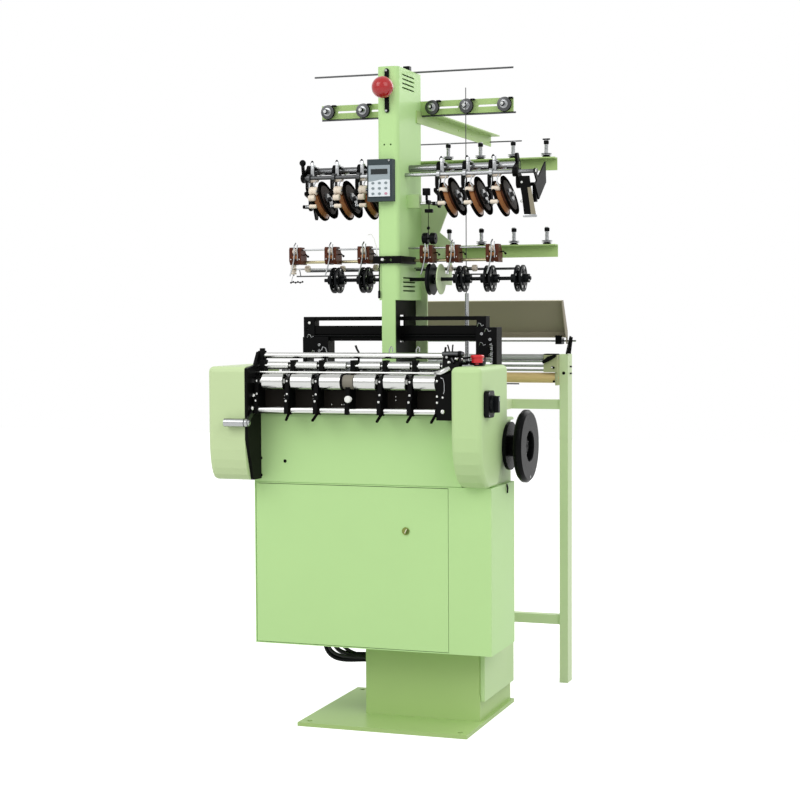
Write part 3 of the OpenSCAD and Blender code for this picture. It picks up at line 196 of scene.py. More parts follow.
def surface(name, rgb, rough=0.5, metal=0.0, coat=0.0, shine=0.5, grain=700, bump=0.1, depth=0.3,
            mottle=0.03, patch=9, spread=0.15, stretch=(1, 1, 1), twist=0.0):
    """A finish with its own grain: fine bumps, and soft patches of tone and of roughness."""
    m = bpy.data.materials.new(name)
    MATERIALS[name] = m
    m.use_nodes = True
    nodes = m.node_tree.nodes
    links = m.node_tree.links
    bsdf = nodes["Principled BSDF"]
    bsdf.inputs["Metallic"].default_value = metal
    bsdf.inputs["Coat Weight"].default_value = coat
    bsdf.inputs["Coat Roughness"].default_value = COAT_ROUGH
    bsdf.inputs["Specular IOR Level"].default_value = shine
    place = nodes.new("ShaderNodeTexCoord")
    mapping = nodes.new("ShaderNodeMapping")
    mapping.inputs["Scale"].default_value = stretch
    links.new(place.outputs["Object"], mapping.inputs["Vector"])
    where = mapping.outputs["Vector"]
    fine = noise(nodes, links, where, grain, FINE_DETAIL, twist)
    broad = noise(nodes, links, where, patch, BROAD_DETAIL)
    lift = nodes.new("ShaderNodeBump")
    lift.inputs["Strength"].default_value = bump
    lift.inputs["Distance"].default_value = depth * MM
    links.new(fine, lift.inputs["Height"])
    links.new(lift.outputs["Normal"], bsdf.inputs["Normal"])
    tone = nodes.new("ShaderNodeMix")
    tone.data_type = "RGBA"
    colour = linear(rgb)
    tone.inputs["A"].default_value = (*[c * (1 - mottle) for c in colour], 1)
    tone.inputs["B"].default_value = (*[min(1, c * (1 + mottle)) for c in colour], 1)
    links.new(broad, tone.inputs["Factor"])
    links.new(tone.outputs["Result"], bsdf.inputs["Base Color"])
    haze = nodes.new("ShaderNodeMapRange")
    haze.inputs["To Min"].default_value = rough * (1 - spread)
    haze.inputs["To Max"].default_value = min(1, rough * (1 + spread))
    links.new(broad, haze.inputs["Value"])
    links.new(haze.outputs["Result"], bsdf.inputs["Roughness"])


def paint(name, rgb, rough=0.4):
    surface(name, rgb, rough, coat=0.02, shine=0.14, grain=420, bump=0.08, mottle=0.025, patch=5)


def plastic(name, rgb, rough=0.4, coat=0.0, shine=0.3):
    surface(name, rgb, rough, coat=coat, shine=shine, grain=900, bump=0.12, mottle=0.05, patch=20)


BRUSHED = (4, 40, 40)
WOOD_GRAIN = (0.6, 9, 9)


def metal(name, rgb, rough=0.3, bump=0.06):
    surface(name, rgb, rough, metal=1, grain=60, bump=bump, depth=0.12, mottle=0.06, patch=14,
            spread=0.25, stretch=BRUSHED)


paint("green_body", (187, 224, 154))
paint("green_cover", (188, 216, 156), 0.38)
# A darker green: painted shade for the shade the cabinet casts on the base plate and pedestal, also used on the
# column arms
paint("green_shaded", (170, 198, 128), 0.4)
# A paler green: painted light that lifts the shade on the rear legs, rails and strut
paint("green_rail_lit", (203, 222, 175), 0.42)
paint("green_dull", (172, 178, 136), 0.42)
paint("cream_cover", (198, 218, 167), 0.36)
# Lock metal tinted olive: brass with a painted reflection of the green door around it
metal("lock_brass", (122, 132, 70), 0.34)
plastic("black_parts", (12, 12, 12), 0.4, shine=0.05)
surface("black_cast", (12, 12, 13), 0.42, shine=0.06, grain=95, bump=0.55, depth=1.2, mottle=0.1,
        twist=2.2)
plastic("black_gloss", (11, 12, 13), 0.26, shine=0.05)
plastic("black_plastic", (14, 16, 18), 0.34, shine=0.09)
plastic("red_plastic", (212, 40, 46), 0.24, 0.3)
plastic("red_ball", (170, 18, 22), 0.16, 0.5)
plastic("black_flat", (13, 12, 11), 0.6, shine=0.0)
metal("chrome_parts", (192, 193, 190), 0.18, bump=0.02)
metal("rod_brass", (168, 160, 128), 0.3)
metal("dark_steel", (80, 81, 82), 0.36)
metal("steel_parts", (164, 166, 167), 0.26)
plastic("grey_plastic", (60, 70, 73), 0.46, shine=0.12)
plastic("brown_wheel", (78, 44, 27), 0.3, 0.04, 0.1)
plastic("black_apron", (36, 33, 29), 0.4, shine=0.05)
plastic("brown_block", (86, 47, 33), 0.34, 0.0, 0.08)
plastic("brown_dark", (42, 30, 23), 0.5, 0.0, 0.02)
paint("sleeve_grey", (128, 124, 112), 0.4)
metal("aluminium_parts", (206, 208, 210), 0.34)
paint("olive_tray", (142, 135, 116), 0.5)
surface("grey_roller", (168, 170, 170), 0.4, metal=0.3, grain=80, stretch=BRUSHED)
surface("wood_roller", (214, 188, 132), 0.5, shine=0.3, grain=70, bump=0.2, mottle=0.16, patch=26,
        stretch=WOOD_GRAIN)
plastic("cable_rubber", (26, 26, 28), 0.5)
surface("belt_rubber", (32, 32, 32), 0.7, shine=0.3, grain=500, bump=0.3)
paint("motor_grey", (98, 108, 100), 0.5)
plastic("white_plastic", (236, 237, 232), 0.3, 0.1)
plastic("cream_plastic", (232, 219, 201), 0.34, 0.1)
plastic("gold_drum", (172, 116, 70), 0.36, 0.0, 0.16)
plastic("grey_panel", (150, 162, 167), 0.4)
plastic("pale_panel", (222, 229, 233), 0.4)
plastic("display_black", (12, 24, 25), 0.15, 0.4)
plastic("key_grey", (126, 138, 142), 0.4)
plastic("key_red", (196, 140, 158), 0.4)
# A pale tone: painted highlight, on the rear tray's lip and along the lock's slot
paint("pale_highlight", (232, 224, 200), 0.42)
paint("lock_shade", (84, 104, 46), 0.4)


# Finishes and edges of the CAD parts --------------------------------------------------------------

SHEET_EDGE = 1.6
CAST_EDGE = 1.2
FINE_EDGE = 0.5
EDGES = {
    SHEET_EDGE: ("pedestal", "pedestal_cover", "machine_bed", "column"),
    CAST_EDGE: ("takeup_frame", "harness_side_left", "harness_side_right", "right_housing", "gear_cover",
                "reed_batten", "side_plate", "handwheel", "rotary_switch", "control_bases", "keypad"),
    FINE_EDGE: ("rear_tray", "feeder_arms", "weft_blocks", "rod_clamp", "column_arms", "rear_strut"),
}
EDGE_WELD = 0.02
EDGE_ANGLE = math.radians(50)

# Painted parts in another tone than the body's. The darker green on the base plate and pedestal is painted shade,
# for the shade under the cabinet, and the column arms take it too; the paler green on the rear legs, rails and
# strut is painted light that lifts their shade.
TONES = {
    "green_shaded": ("base_plate", "pedestal", "column_arms"),
    "green_rail_lit": ("rear_leg_left", "rear_leg_right", "rear_cross_bars", "rear_side_rails", "rear_strut"),
    "green_dull": ("rear_roller_brackets",),
}


def dress_frame():
    slots = {s["node"]: s["material_slot"] for s in frame["record"]["subparts"]}
    for name, obj in frame["nodes"].items():
        obj.data.materials.clear()
        obj.data.materials.append(MATERIALS[slots[name]])
    for tone, names in TONES.items():
        for name in names:
            repaint(name, tone, lambda p: True)
    for width, names in EDGES.items():
        for name in names:
            soften(frame["nodes"][name], width)


def repaint(node, material, pick):
    """Another finish for the faces of a CAD node whose middle, in millimetres, pick() accepts."""
    mesh = frame["nodes"][node].data
    mesh.materials.append(MATERIALS[material])
    slot = len(mesh.materials) - 1
    for face in mesh.polygons:
        if pick(face.center / MM):
            face.material_index = slot


def soften(obj, width):
    """Slightly rounded edges, without a change to the CAD part's own mesh."""
    weld = obj.modifiers.new("weld", "WELD")
    weld.merge_threshold = EDGE_WELD * MM
    bevel = obj.modifiers.new("edges", "BEVEL")
    bevel.width = width * MM
    bevel.segments = 2
    bevel.limit_method = "ANGLE"
    bevel.angle_limit = EDGE_ANGLE
    normal = obj.modifiers.new("normals", "WEIGHTED_NORMAL")
    normal.keep_sharp = True


# Places in the frame, in millimetres --------------------------------------------------------------

def corners(node):
    low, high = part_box(node)
    return Vector(low) / MM, Vector(high) / MM


def middle(node):
    low, high = corners(node)
    return (low + high) / 2


# Drawing ------------------------------------------------------------------------------------------

SHARP_ANGLE = math.radians(35)
SINK = 0.4


def circle(n, r=1.0, start=0.0):
    """Pairs of n points round a circle, from an angle in radians."""
    angles = [start + k * math.tau / n for k in range(n)]
    return [(r * math.cos(a), r * math.sin(a)) for a in angles]


class Piece:
    """One new piece of a body, drawn in millimetres. Every point counts from an origin that at() moves."""

    def __init__(self, name, material, body=ROOT):
        self.name = name
        self.body = body
        self.mesh = bmesh.new()
        self.materials = []
        self.origin = Vector()
        self.use(material)

    def at(self, x, y, z):
        self.origin = Vector((x, y, z))
        return self

    def use(self, material):
        if material not in self.materials:
            self.materials.append(material)
        self.paint = self.materials.index(material)
        return self

    def face(self, points):
        self.mesh.faces.new(points).material_index = self.paint

    def skin(self, rings):
        """Faces between rings of points; a ring of one point is a tip."""
        made = [[self.mesh.verts.new(self.origin + p) for p in points] for points in rings]
        for a, b in zip(made, made[1:]):
            n = max(len(a), len(b))
            for k in range(n):
                corner = [a[k % len(a)], a[(k + 1) % len(a)], b[(k + 1) % len(b)], b[k % len(b)]]
                self.face(list(dict.fromkeys(corner)))
        for end in (made[0][::-1], made[-1]):
            if len(end) > 2:
                self.face(end)
        return self

    def turned(self, start, axis, profile, sides=32):
        """A lathed shape: profile is (distance along the axis, radius)."""
        axis = Vector(axis).normalized()
        turn = axis.to_track_quat("Z", "Y").to_matrix()
        rings = []
        for along, r in profile:
            centre = Vector(start) + axis * along
            rim = circle(sides, r) if r > 0 else [(0, 0)]
            rings.append([centre + turn @ Vector((c, s, 0)) for c, s in rim])
        return self.skin(rings)

    def rod(self, a, b, r, sides=24, ease=0.0):
        """A straight bar; ease rounds its two rims."""
        length = (Vector(b) - Vector(a)).length
        profile = [(0, r), (length, r)]
        if ease > 0:
            profile = [(0, r - ease), (ease, r), (length - ease, r), (length, r - ease)]
        return self.turned(a, Vector(b) - Vector(a), profile, sides)

    def bent(self, points, r, sides=12):
        """A round wire along a row of points."""
        points = [Vector(p) for p in points]
        rings = []
        up = (points[1] - points[0]).normalized().orthogonal().normalized()
        for i, point in enumerate(points):
            ahead = (points[min(i + 1, len(points) - 1)] - points[max(i - 1, 0)]).normalized()
            side = ahead.cross(up).normalized()
            up = side.cross(ahead)
            rings.append([point + r * (side * c + up * s) for c, s in circle(sides)])
        return self.skin(rings)

    def slab(self, outline, origin, u, v, depth):
        """A flat plate: an outline in the directions u and v, thick along u x v."""
        out = u.cross(v).normalized() * depth
        base = [Vector(origin) + u * a + v * b for a, b in outline]
        return self.skin([base, [p + out for p in base]])

    def block(self, low, high, ease=0.0):
        """A box between two corners; ease rounds its edges."""
        low, high = self.origin + Vector(low), self.origin + Vector(high)
        made = bmesh.ops.create_cube(self.mesh, size=1)["verts"]
        for v in made:
            v.co = Vector((low[i] if v.co[i] < 0 else high[i]) for i in range(3))
        for f in {f for v in made for f in v.link_faces}:
            f.material_index = self.paint
        if ease > 0:
            edges = list({e for v in made for e in v.link_edges})
            bmesh.ops.bevel(self.mesh, geom=edges, offset=ease, segments=2, profile=0.5, affect="EDGES",
                            material=-1)
        return self

    def dome(self, start, axis, r, h, sides=20):
        """A round-headed screw or knob."""
        profile = [(-SINK, 0), (-SINK, r * 0.9), (0, r * 0.9), (h * 0.12, r), (h * 0.45, r * 0.93),
                   (h * 0.8, r * 0.6), (h, r * 0.18), (h, 0)]
        return self.turned(start, axis, profile, sides)

    def screw(self, start, axis, r, h):
        """A cap screw with a sunk socket."""
        profile = [(-SINK, 0), (-SINK, r), (h - 0.5, r), (h, r - 0.5), (h, r * 0.5), (h * 0.4, r * 0.45),
                   (h * 0.4, 0)]
        return self.turned(start, axis, profile, 18)

    def disc(self, start, axis, r, h, rim, sides, sink=0.0):
        """A flat-faced knob or roller whose outer rim is cut back."""
        profile = [(-sink, 0), (-sink, r), (h - rim, r), (h, r - rim), (h, 0)]
        return self.turned(start, axis, profile, sides)

    def ball(self, centre, r, axis=Z, sides=24):
        n = 10
        arc = [(-r * math.cos(math.pi * k / n), r * math.sin(math.pi * k / n)) for k in range(1, n)]
        return self.turned(centre, axis, [(-r, 0), *arc, (r, 0)], sides)

    def barrel(self, start, axis, r, length):
        """A guide roller with rounded ends and a shallow groove."""
        profile = [(0, 0), (0, r * 0.8), (r * 0.14, r * 0.95), (r * 0.3, r), (length * 0.44, r),
                   (length * 0.47, r * 0.95), (length * 0.53, r * 0.95), (length * 0.56, r),
                   (length - r * 0.3, r), (length - r * 0.14, r * 0.95), (length, r * 0.8), (length, 0)]
        return self.turned(start, axis, profile, 28)

    def spring(self, start, axis, r, wire, length, turns):
        """A coil of round wire, with 12 points to a turn."""
        turn = axis.to_track_quat("Z", "Y").to_matrix()
        steps = turns * 12
        points = []
        for k in range(steps + 1):
            a = k * math.tau / 12
            point = Vector((r * math.cos(a), r * math.sin(a), length * k / steps))
            points.append(Vector(start) + turn @ point)
        return self.bent(points, wire, 6)

    def place(self, slot=None):
        """Make the object with the piece's own finishes. The slot argument is not used."""
        bmesh.ops.recalc_face_normals(self.mesh, faces=self.mesh.faces)
        bmesh.ops.scale(self.mesh, vec=(MM, MM, MM), verts=self.mesh.verts)
        data = bpy.data.meshes.new(self.name)
        self.mesh.to_mesh(data)
        self.mesh.free()
        for material in self.materials:
            data.materials.append(MATERIALS[material])
        data.shade_smooth()
        data.set_sharp_from_angle(angle=SHARP_ANGLE)
        obj = bpy.data.objects.new(self.name, data)
        bpy.context.scene.collection.objects.link(obj)
        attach(obj, self.body)


# Take-up ------------------------------------------------------------------------------------------

HERE = Vector()
HEAD_PITCH = 98
MID_PITCH = 114
HEAD_STEP = (HEAD_PITCH + MID_PITCH) / 2
SCREW_R = 4.3
SCREW_H = 3.4
# Faces before and behind the roller's axis: the dividers' noses, the box under them, and the apron
NOSE_Y = -16
BOX_Y = -26
APRON_Y = 38
# Behind the front of the take-up frame: the foot of the hooks
BACK_Y = 106
# Radius between the release shaft and the lever on it
SHAFT_SPLIT = 10.4

take_low, take_high = corners("takeup_frame")
take_shaft = middle("takeup_rollers")
take_x = middle("guide_rollers").x
dividers = [take_low.x + 14, take_x - HEAD_STEP - HEAD_PITCH, take_x - HEAD_STEP, take_x + HEAD_STEP,
            take_x + HEAD_STEP + HEAD_PITCH]


def takeup_screws():
    screws = Piece("takeup_screws", "chrome_parts").at(0, take_shaft.y, take_shaft.z)
    for x in dividers:
        for y, z in ((NOSE_Y, 2), (NOSE_Y, -39), (BOX_Y, -60)):
            screws.dome((x, y, z), -Y, SCREW_R, SCREW_H)
    for x in (dividers[1] - 31, dividers[2] - 31, dividers[3] + 34):
        for z in (-45, -56):
            screws.dome((x, APRON_Y, z), -Y, 2.6, 2)
    for x in (32, 66, 74):
        screws.dome((dividers[2] + x, APRON_Y, -72), -Y, 2.4, 2)
    screws.at(take_high.x, take_low.y, take_shaft.z)
    for z in (7, -40, -59):
        screws.dome((-50, 0, z), -Y, SCREW_R, SCREW_H)
    screws.dome((-32, 0, -43), -Y, 3.4, 2.4)
    screws.dome((-32, 0, -86), -Y, 8, 7)
    screws.place()


def plate_lugs():
    lugs = Piece("plate_lugs", "black_parts").at(take_low.x, take_shaft.y, take_shaft.z)
    lugs.block((-3, -14, -57), (8, 10, -33), 1.5)
    lugs.block((-3, -28, -94), (8, -8, -74), 1.5)
    lugs.use("chrome_parts")
    lugs.dome((2, -14, -45), -Y, 8.2, 8)
    lugs.dome((3, -28, -84), -Y, 7.6, 7)
    lugs.place()


def plunger_knob():
    knob = Piece("plunger_knob", "white_plastic").at(take_x + 9, take_shaft.y - 20, take_shaft.z - 52)
    knob.turned(HERE, -Y, [(-1, 0), (-1, 5), (7, 5), (8, 8.5), (10, 10.4), (19, 11), (21.5, 9.6),
                           (22.5, 6.5), (22.5, 0)], 28)
    knob.use("chrome_parts").disc(HERE, -Y, 8, 2.2, 0.6, 24, 1)
    knob.place("black_plastic")


def sleeve_rings():
    sleeve = Piece("sleeve_rings", "black_gloss").at(take_x - 20, take_shaft.y, take_shaft.z)
    sleeve.turned(HERE, X, [(-4, 22.1), (-4, 24.8), (-3, 25.8), (3, 25.8), (4, 24.8), (4, 22.1)], 40)
    sleeve.place()


def repaint_takeup():
    def on_sleeve(p):
        r = math.hypot(p.y - take_shaft.y, p.z - take_shaft.z)
        return abs(p.x - take_x) < 19.5 and 20.5 < r < 22.6
    repaint("takeup_frame", "sleeve_grey", on_sleeve)
    apron = take_shaft.y + APRON_Y
    repaint("takeup_frame", "black_apron", lambda p: abs(p.y - apron) < 4 and p.z < take_shaft.z)


def bar_handle():
    handle = Piece("bar_handle", "chrome_parts").at(take_high.x - 44, take_shaft.y - 26, take_shaft.z + 30)
    handle.bent([(-16, 14, -3), (-6, 2, -1), (6, -5, 3), (18, -4, 9), (30, 3, 14)], 8.5, 16)
    handle.place()


def end_block_wire():
    wire = Piece("end_block_wire", "steel_parts").at(take_high.x - 38, take_low.y, take_shaft.z)
    wire.bent([(0, -1, 17), (9, -3, 14), (12, -3, 0), (12, -2, -22), (9, -1, -32)], 1.3, 8)
    wire.place()


def bar_clamps():
    clamps = Piece("bar_clamps", "black_parts").at(take_low.x, take_shaft.y, take_shaft.z)
    clamps.block((-6, 40, 62), (14, 68, 96), 2)
    clamps.block((-2, 46, 90), (12, 62, 104), 1.5)
    for x, lean in ((-46, -5), (-38, 4)):
        clamps.at(take_high.x + x, middle("takeup_bars").y, take_high.z)
        clamps.bent([(0, 40, -12), (lean * 0.3, 38, 4), (lean, 34, 20)], 2.4, 10)
    clamps.place()


def end_block_parts():
    cluster = Piece("end_block_parts", "chrome_parts").at(take_high.x, take_low.y + 66, take_high.z)
    cluster.dome((-32, 0, -34), -Y, 6.5, 5)
    cluster.ball((-8, -4, -22), 6.5)
    cluster.turned((-38, 0, -17), -Y, [(-1, 0), (-1, 5), (6, 5), (8, 3.6), (8, 0)], 18)
    cluster.use("dark_steel")
    cluster.rod((-52, -6, -7), (18, -6, -7), 6.4, 20, 1)
    cluster.bent([(-18, -1, -39), (-16, -8, -31), (-22, -9, -19)], 2.4, 10)
    cluster.use("black_gloss")
    cluster.rod((-44, -4, -5), (-41, -6, 14), 3.4, 12, 1)
    cluster.turned((0, -6, -7), X, [(0, 0), (0, 9.4), (9, 9.4), (10, 8), (10, 0)], 24)
    cluster.place()


def reed_hooks():
    hooks = Piece("reed_hooks", "steel_parts")
    for x in (114, 203):
        hooks.at(take_x + x, take_low.y + BACK_Y - 1, take_high.z)
        hooks.bent([(-6, 0, -11), (-5, 0, 5), (1, 0, 15), (6, 0, 9), (5, 0, -2)], 2, 8)
    hooks.at(dividers[2] + 4, take_low.y + BACK_Y, take_shaft.z + 5)
    hooks.bent([(0, 0, 0), (0, 2, 84), (-5, 0, 100), (-12, -4, 103), (-15, -8, 92)], 1.8, 8)
    hooks.use("black_gloss").at(take_x + 2, take_low.y + BACK_Y, take_shaft.z + 5)
    hooks.bent([(4, 0, 0), (4, 0, 86), (-2, 0, 96), (-6, -2, 108)], 3.4, 10)
    hooks.place()


def brake_unit():
    low, high = corners("right_housing")
    unit = Piece("brake_unit", "black_parts").at(low.x, take_shaft.y + 66, high.z)
    unit.block((8, 0, -1), (64, 26, 15), 2)
    unit.block((-26, 4, -4), (8, 24, 12), 2)
    unit.bent([(-30, 6, 14), (-14, 4, 26), (8, 4, 24), (40, 10, 30)], 3.2, 10)
    unit.use("chrome_parts")
    for x in (-34, -4):
        unit.ball((x, -2, 19), 7)
    unit.use("steel_parts")
    unit.slab([(0, 0), (38, 0), (38, 26), (30, 30), (8, 30), (0, 26)], (6, -26, -0.4), X, Y, 4)
    unit.disc((24, -12, 3), Z, 5, 4, 1, 18, 1)
    unit.place()


def release_parts():
    axis = take_low + 24 * (Y + Z)
    near = corners("side_plate")[1].x

    def out(p):
        return math.hypot(p.y - axis.y, p.z - axis.z)
    repaint("release_shaft", "chrome_parts", lambda p: out(p) < SHAFT_SPLIT and p.x > near)
    repaint("release_shaft", "steel_parts", lambda p: p.x < near - 3)
    repaint("release_shaft", "black_flat", lambda p: out(p) > SHAFT_SPLIT and p.x > near + 20)
    hub = Piece("release_hub", "steel_parts", "release_lever").at(near + 4, axis.y - 60.6, axis.z - 38.8)
    hub.ball(HERE, 13.4, X, 32)
    hub.turned(-68 * X, -X, [(0, 0), (0, 13.4), (3, 13), (6, 10), (7.5, 6), (8, 0)], 32)
    hub.place()


# Controls -----------------------------------------------------------------------------------------

def switch_parts():
    centre = middle("rotary_switch")
    face = Piece("switch_face", "grey_plastic", "rotary_switch")
    face.at(corners("rotary_switch")[1].x, centre.y, centre.z)
    face.slab([(-7, 8), (7, 8), (6, 24), (-6, 24)], (-0.3, 0, 0), Y, Z, 0.7)
    face.use("white_plastic")
    face.slab([(-1.2, 10), (1.2, 10), (1.2, 22), (-1.2, 22)], (0.3, 0, 0), Y, Z, 0.4)
    face.place()
    screws = Piece("switch_screws", "steel_parts").at(corners("right_housing")[1].x, centre.y, centre.z)
    for y in (-25, 25):
        for z in (-34, 34):
            screws.screw((16, y, z), X, 2.6, 1)
    screws.place()


def wheel_parts():
    centre = middle("handwheel")
    hub = Piece("handwheel_hub", "black_parts", "handwheel")
    hub.at(corners("handwheel")[1].x, centre.y, centre.z)
    hub.turned((-19.4, 0, 0), X, [(-1, 0), (-1, 30), (3, 30), (5, 28), (5, 19), (7, 17), (7, 0)], 40)
    hub.use("steel_parts")
    for y, z in circle(3, 24, 0.5):
        hub.screw((-14.6, y, z), X, 3.6, 2.4)
    for y, z in circle(1, 97, -1.54):
        hub.dome((-0.6, y, z), X, 4.4, 2.4)
    hub.place()


# Column -------------------------------------------------------------------------------------------

PIN_PITCH = 112
# From the feet of the lower pins to those of the upper ones
PIN_LIFT = 283
# Centres of the tension discs, from the tensioners' left end
DISC_STEPS = (23, 150, 395, 513, 643)


def keypad_parts():
    low, high = corners("keypad")
    w = high.x - low.x
    h = high.z - low.z
    panel = Piece("keypad_panel", "grey_panel").at(*low)
    panel.slab([(6, 48), (w - 7, 48), (w - 7, h - 20), (6, h - 20)], (0, 1.7, 0), X, Z, 1.9)
    field = [(6, 15), (w - 7, 15), (w - 7, 66)]
    for k in range(13):
        t = k / 12
        field.append((w - 7 - t * (w - 13), 66 + 3.2 * math.sin(math.pi * (0.15 + 1.35 * t))))
    panel.use("pale_panel").slab(field, (0, 0.6, 0), X, Z, 1.4)
    panel.use("display_black")
    panel.slab([(14, 86), (w - 15, 86), (w - 15, 103), (14, 103)], (0, 0.2, 0), X, Z, 0.9)
    key = [(x, 0.8 * z) for x, z in circle(14, 5.2)]
    for i in range(3):
        for j in range(3):
            panel.use("key_red" if i == 2 and j == 0 else "key_grey")
            panel.slab(key, (21.5 + i * (w - 42) / 2, -0.7, 24 + j * 17), X, Z, 1.2)
    panel.place("grey_plastic")
    screws = Piece("keypad_screws", "steel_parts").at(high.x, low.y, high.z)
    screws.screw((-11, 1.9, -5), -Y, 3.4, 1.4)
    screws.place()


def signal_parts():
    low, high = corners("signal_ball")
    seam = high.y - 11.5
    repaint("signal_ball", "red_ball", lambda p: p.y <= seam)
    repaint("signal_ball", "black_gloss", lambda p: p.y > seam)
    lugs = Piece("signal_screws", "steel_parts").at((low.x + high.x) / 2 - 2, high.y - 6, 0)
    for z in (low.z + 7, high.z - 7):
        lugs.dome((0, 0, z), -Y, 4.6, 4)
    lugs.place()


def tensioner_pins():
    """Springs and knobs on the two rows of pins."""
    low, high = corners("thread_tensioners")
    springs = Piece("tensioner_springs", "steel_parts")
    knobs = Piece("tensioner_knobs", "black_gloss")
    for k in range(4):
        x = high.x - 18 - PIN_PITCH * k
        for y, z in ((high.y - 26, low.z + PIN_LIFT), (high.y - 18, low.z)):
            springs.at(x, y, z).spring((0, 0, 15), Z, 6.4, 0.9, 26, 6)
            knobs.at(x, y, z).turned((0, 0, 42), Z, [(0, 0), (0, 6), (1, 8.4), (11, 8.6), (13.5, 7),
                                                     (14.5, 4), (14.8, 0)], 20)
            knobs.turned(HERE, Z, [(-0.2, 0), (-0.2, 14), (3.4, 14), (4, 12), (4, 0)], 24)
    knobs.at(high.x, high.y - 26, low.z + PIN_LIFT).rod((-30, 0, 59), (-6, 0, 59), 2.6, 12)
    springs.place()
    knobs.place()


def tensioner_discs():
    low = corners("thread_tensioners")[0]
    bar_z = corners("column_arms")[1].z - 23
    centres = [low.x + step for step in DISC_STEPS]
    discs = Piece("disc_details", "black_gloss")
    for x in centres:
        discs.use("black_gloss").at(x, low.y, bar_z).disc((0, 12, 0), -Y, 8.4, 9, 1, 24)
        discs.turned((0, 34, 0), -Y, [(0, 23.1), (0, 24.4), (2.4, 24.4), (2.4, 23.1)], 40)
        discs.block((15, 26, 17), (29, 40, 23), 1)
        discs.use("chrome_parts").spring((0, 22, 0), -Y, 7.6, 1.0, 9, 3)
        discs.dome((0, 3, 0), -Y, 5, 4)
    discs.place()

    def on_ring(p):
        near = min(centres, key=lambda x: abs(p.x - x))
        return p.z > bar_z - 40 and 12.5 < math.hypot(p.x - near, p.z - bar_z) < 30
    repaint("thread_tensioners", "dark_steel", on_ring)


def repaint_guide_rods():
    low, high = corners("guide_rods")
    x = middle("column").x + 3
    y = corners("column_arms")[0].y + 10

    def on_cap(p):
        return (p.z > high.z - 25 and abs(p.x - x) < 13 and p.y < y + 12
                and (abs(p.y - y) > 4 or p.z > high.z - 16))
    repaint("guide_rods", "dark_steel", lambda p: p.z > low.z + 370)
    repaint("guide_rods", "black_gloss", on_cap)


def column_parts():
    """The small parts that hang on the column beside the feeders, each group from a place of its own."""
    foot = corners("column")[0]
    bracket = foot + Vector((143, 64, 647))
    pulley = foot + Vector((142, 96, 536))
    sleeve = foot + Vector((7, -5, 366))

    dark = Piece("column_details", "black_gloss").at(*bracket)
    dark.block((-8, -8, 27), (15, 8, 50), 1.5)
    dark.block((0, -2, 12), (7, 6, 29), 1)
    dark.block((0, 0, 0), (7, 40, 13), 1)
    dark.rod((0, 36, -16), (0, 36, 5), 2, 10)
    dark.use("chrome_parts").rod((-41, 36, 4), (60, 36, 4), 5, 16)
    dark.use("green_cover").block((-71.5, 24, -11), (-29, 48, 33), 1.5)

    dark.use("black_gloss").at(*pulley)
    dark.rod((0, 0, 0), (0, 0, 20), 1.6, 10)
    dark.rod((-18, -4, 0), (29, -4, 0), 3, 12)
    for x in (-8, 18):
        dark.turned((x, -4, 0), X, [(-9, 0), (-9, 17), (-7, 19), (7, 19), (9, 17), (9, 0)], 32)
    dark.ball((0, 0, 34), 5.5)
    dark.rod((0, 0, 18), (0, 0, 86), 1.3, 8)
    dark.block((-12, -4, 84), (14, 12, 96), 1.5)

    dark.at(*sleeve)
    dark.rod((1, 0, 88), (0, 0, -1), 1.8, 10)
    dark.rod((0, 0, 0), (0, 0, -24), 4, 14, 1)
    dark.use("chrome_parts").dome((13, -5, 100.5), -Y, 5.6, 4)
    dark.use("white_plastic").bent([(-43, 13, 182), (-29, 9, 184), (-19, 7, 168), (-12, 7, 144),
                                    (-11, 9, 124), (-13, 13, 108)], 1.6, 8)
    dark.place()


# Feeders ------------------------------------------------------------------------------------------

RIM_R = 56
FLANGE_R = 25
# From the drive shaft back to the tube
TUBE_Y = 45


def wheel_axes():
    """Centre and axis of each feed wheel, from its joint."""
    found = []
    for joint in frame["joints"]:
        if joint["name"].startswith("feed_wheel_"):
            found.append((joint["child"], Vector(joint["pos_m"]) / MM, Vector(joint["axis"]).normalized()))
    return found


def dress_wheel(node, centre, axis):
    def along(p):
        return (p - centre).dot(axis)

    def out(p):
        return (p - centre - axis * along(p)).length
    repaint(node, "gold_drum", lambda p: -8.5 < along(p) < 3 and out(p) < RIM_R)
    repaint(node, "black_flat", lambda p: along(p) > 15.4 and out(p) > FLANGE_R)
    repaint(node, "black_flat", lambda p: along(p) < -8.5 and out(p) > 20)
    repaint(node, "dark_steel", lambda p: out(p) < FLANGE_R and (along(p) < -18.2 or along(p) > 18))
    rims = Piece(node + "_details", "brown_dark", node).at(*centre)
    rims.turned(axis * 22, axis, [(-3.2, 26), (-3.2, 50), (-1.4, 51), (-1.4, 26)], 48)
    rims.use("dark_steel")
    u = axis.orthogonal().normalized()
    v = axis.cross(u)
    for a, b in circle(3, 33):
        rims.dome(axis * 19 + u * a + v * b, axis, 3, 3.4, 14)
    rims.place("black_gloss")


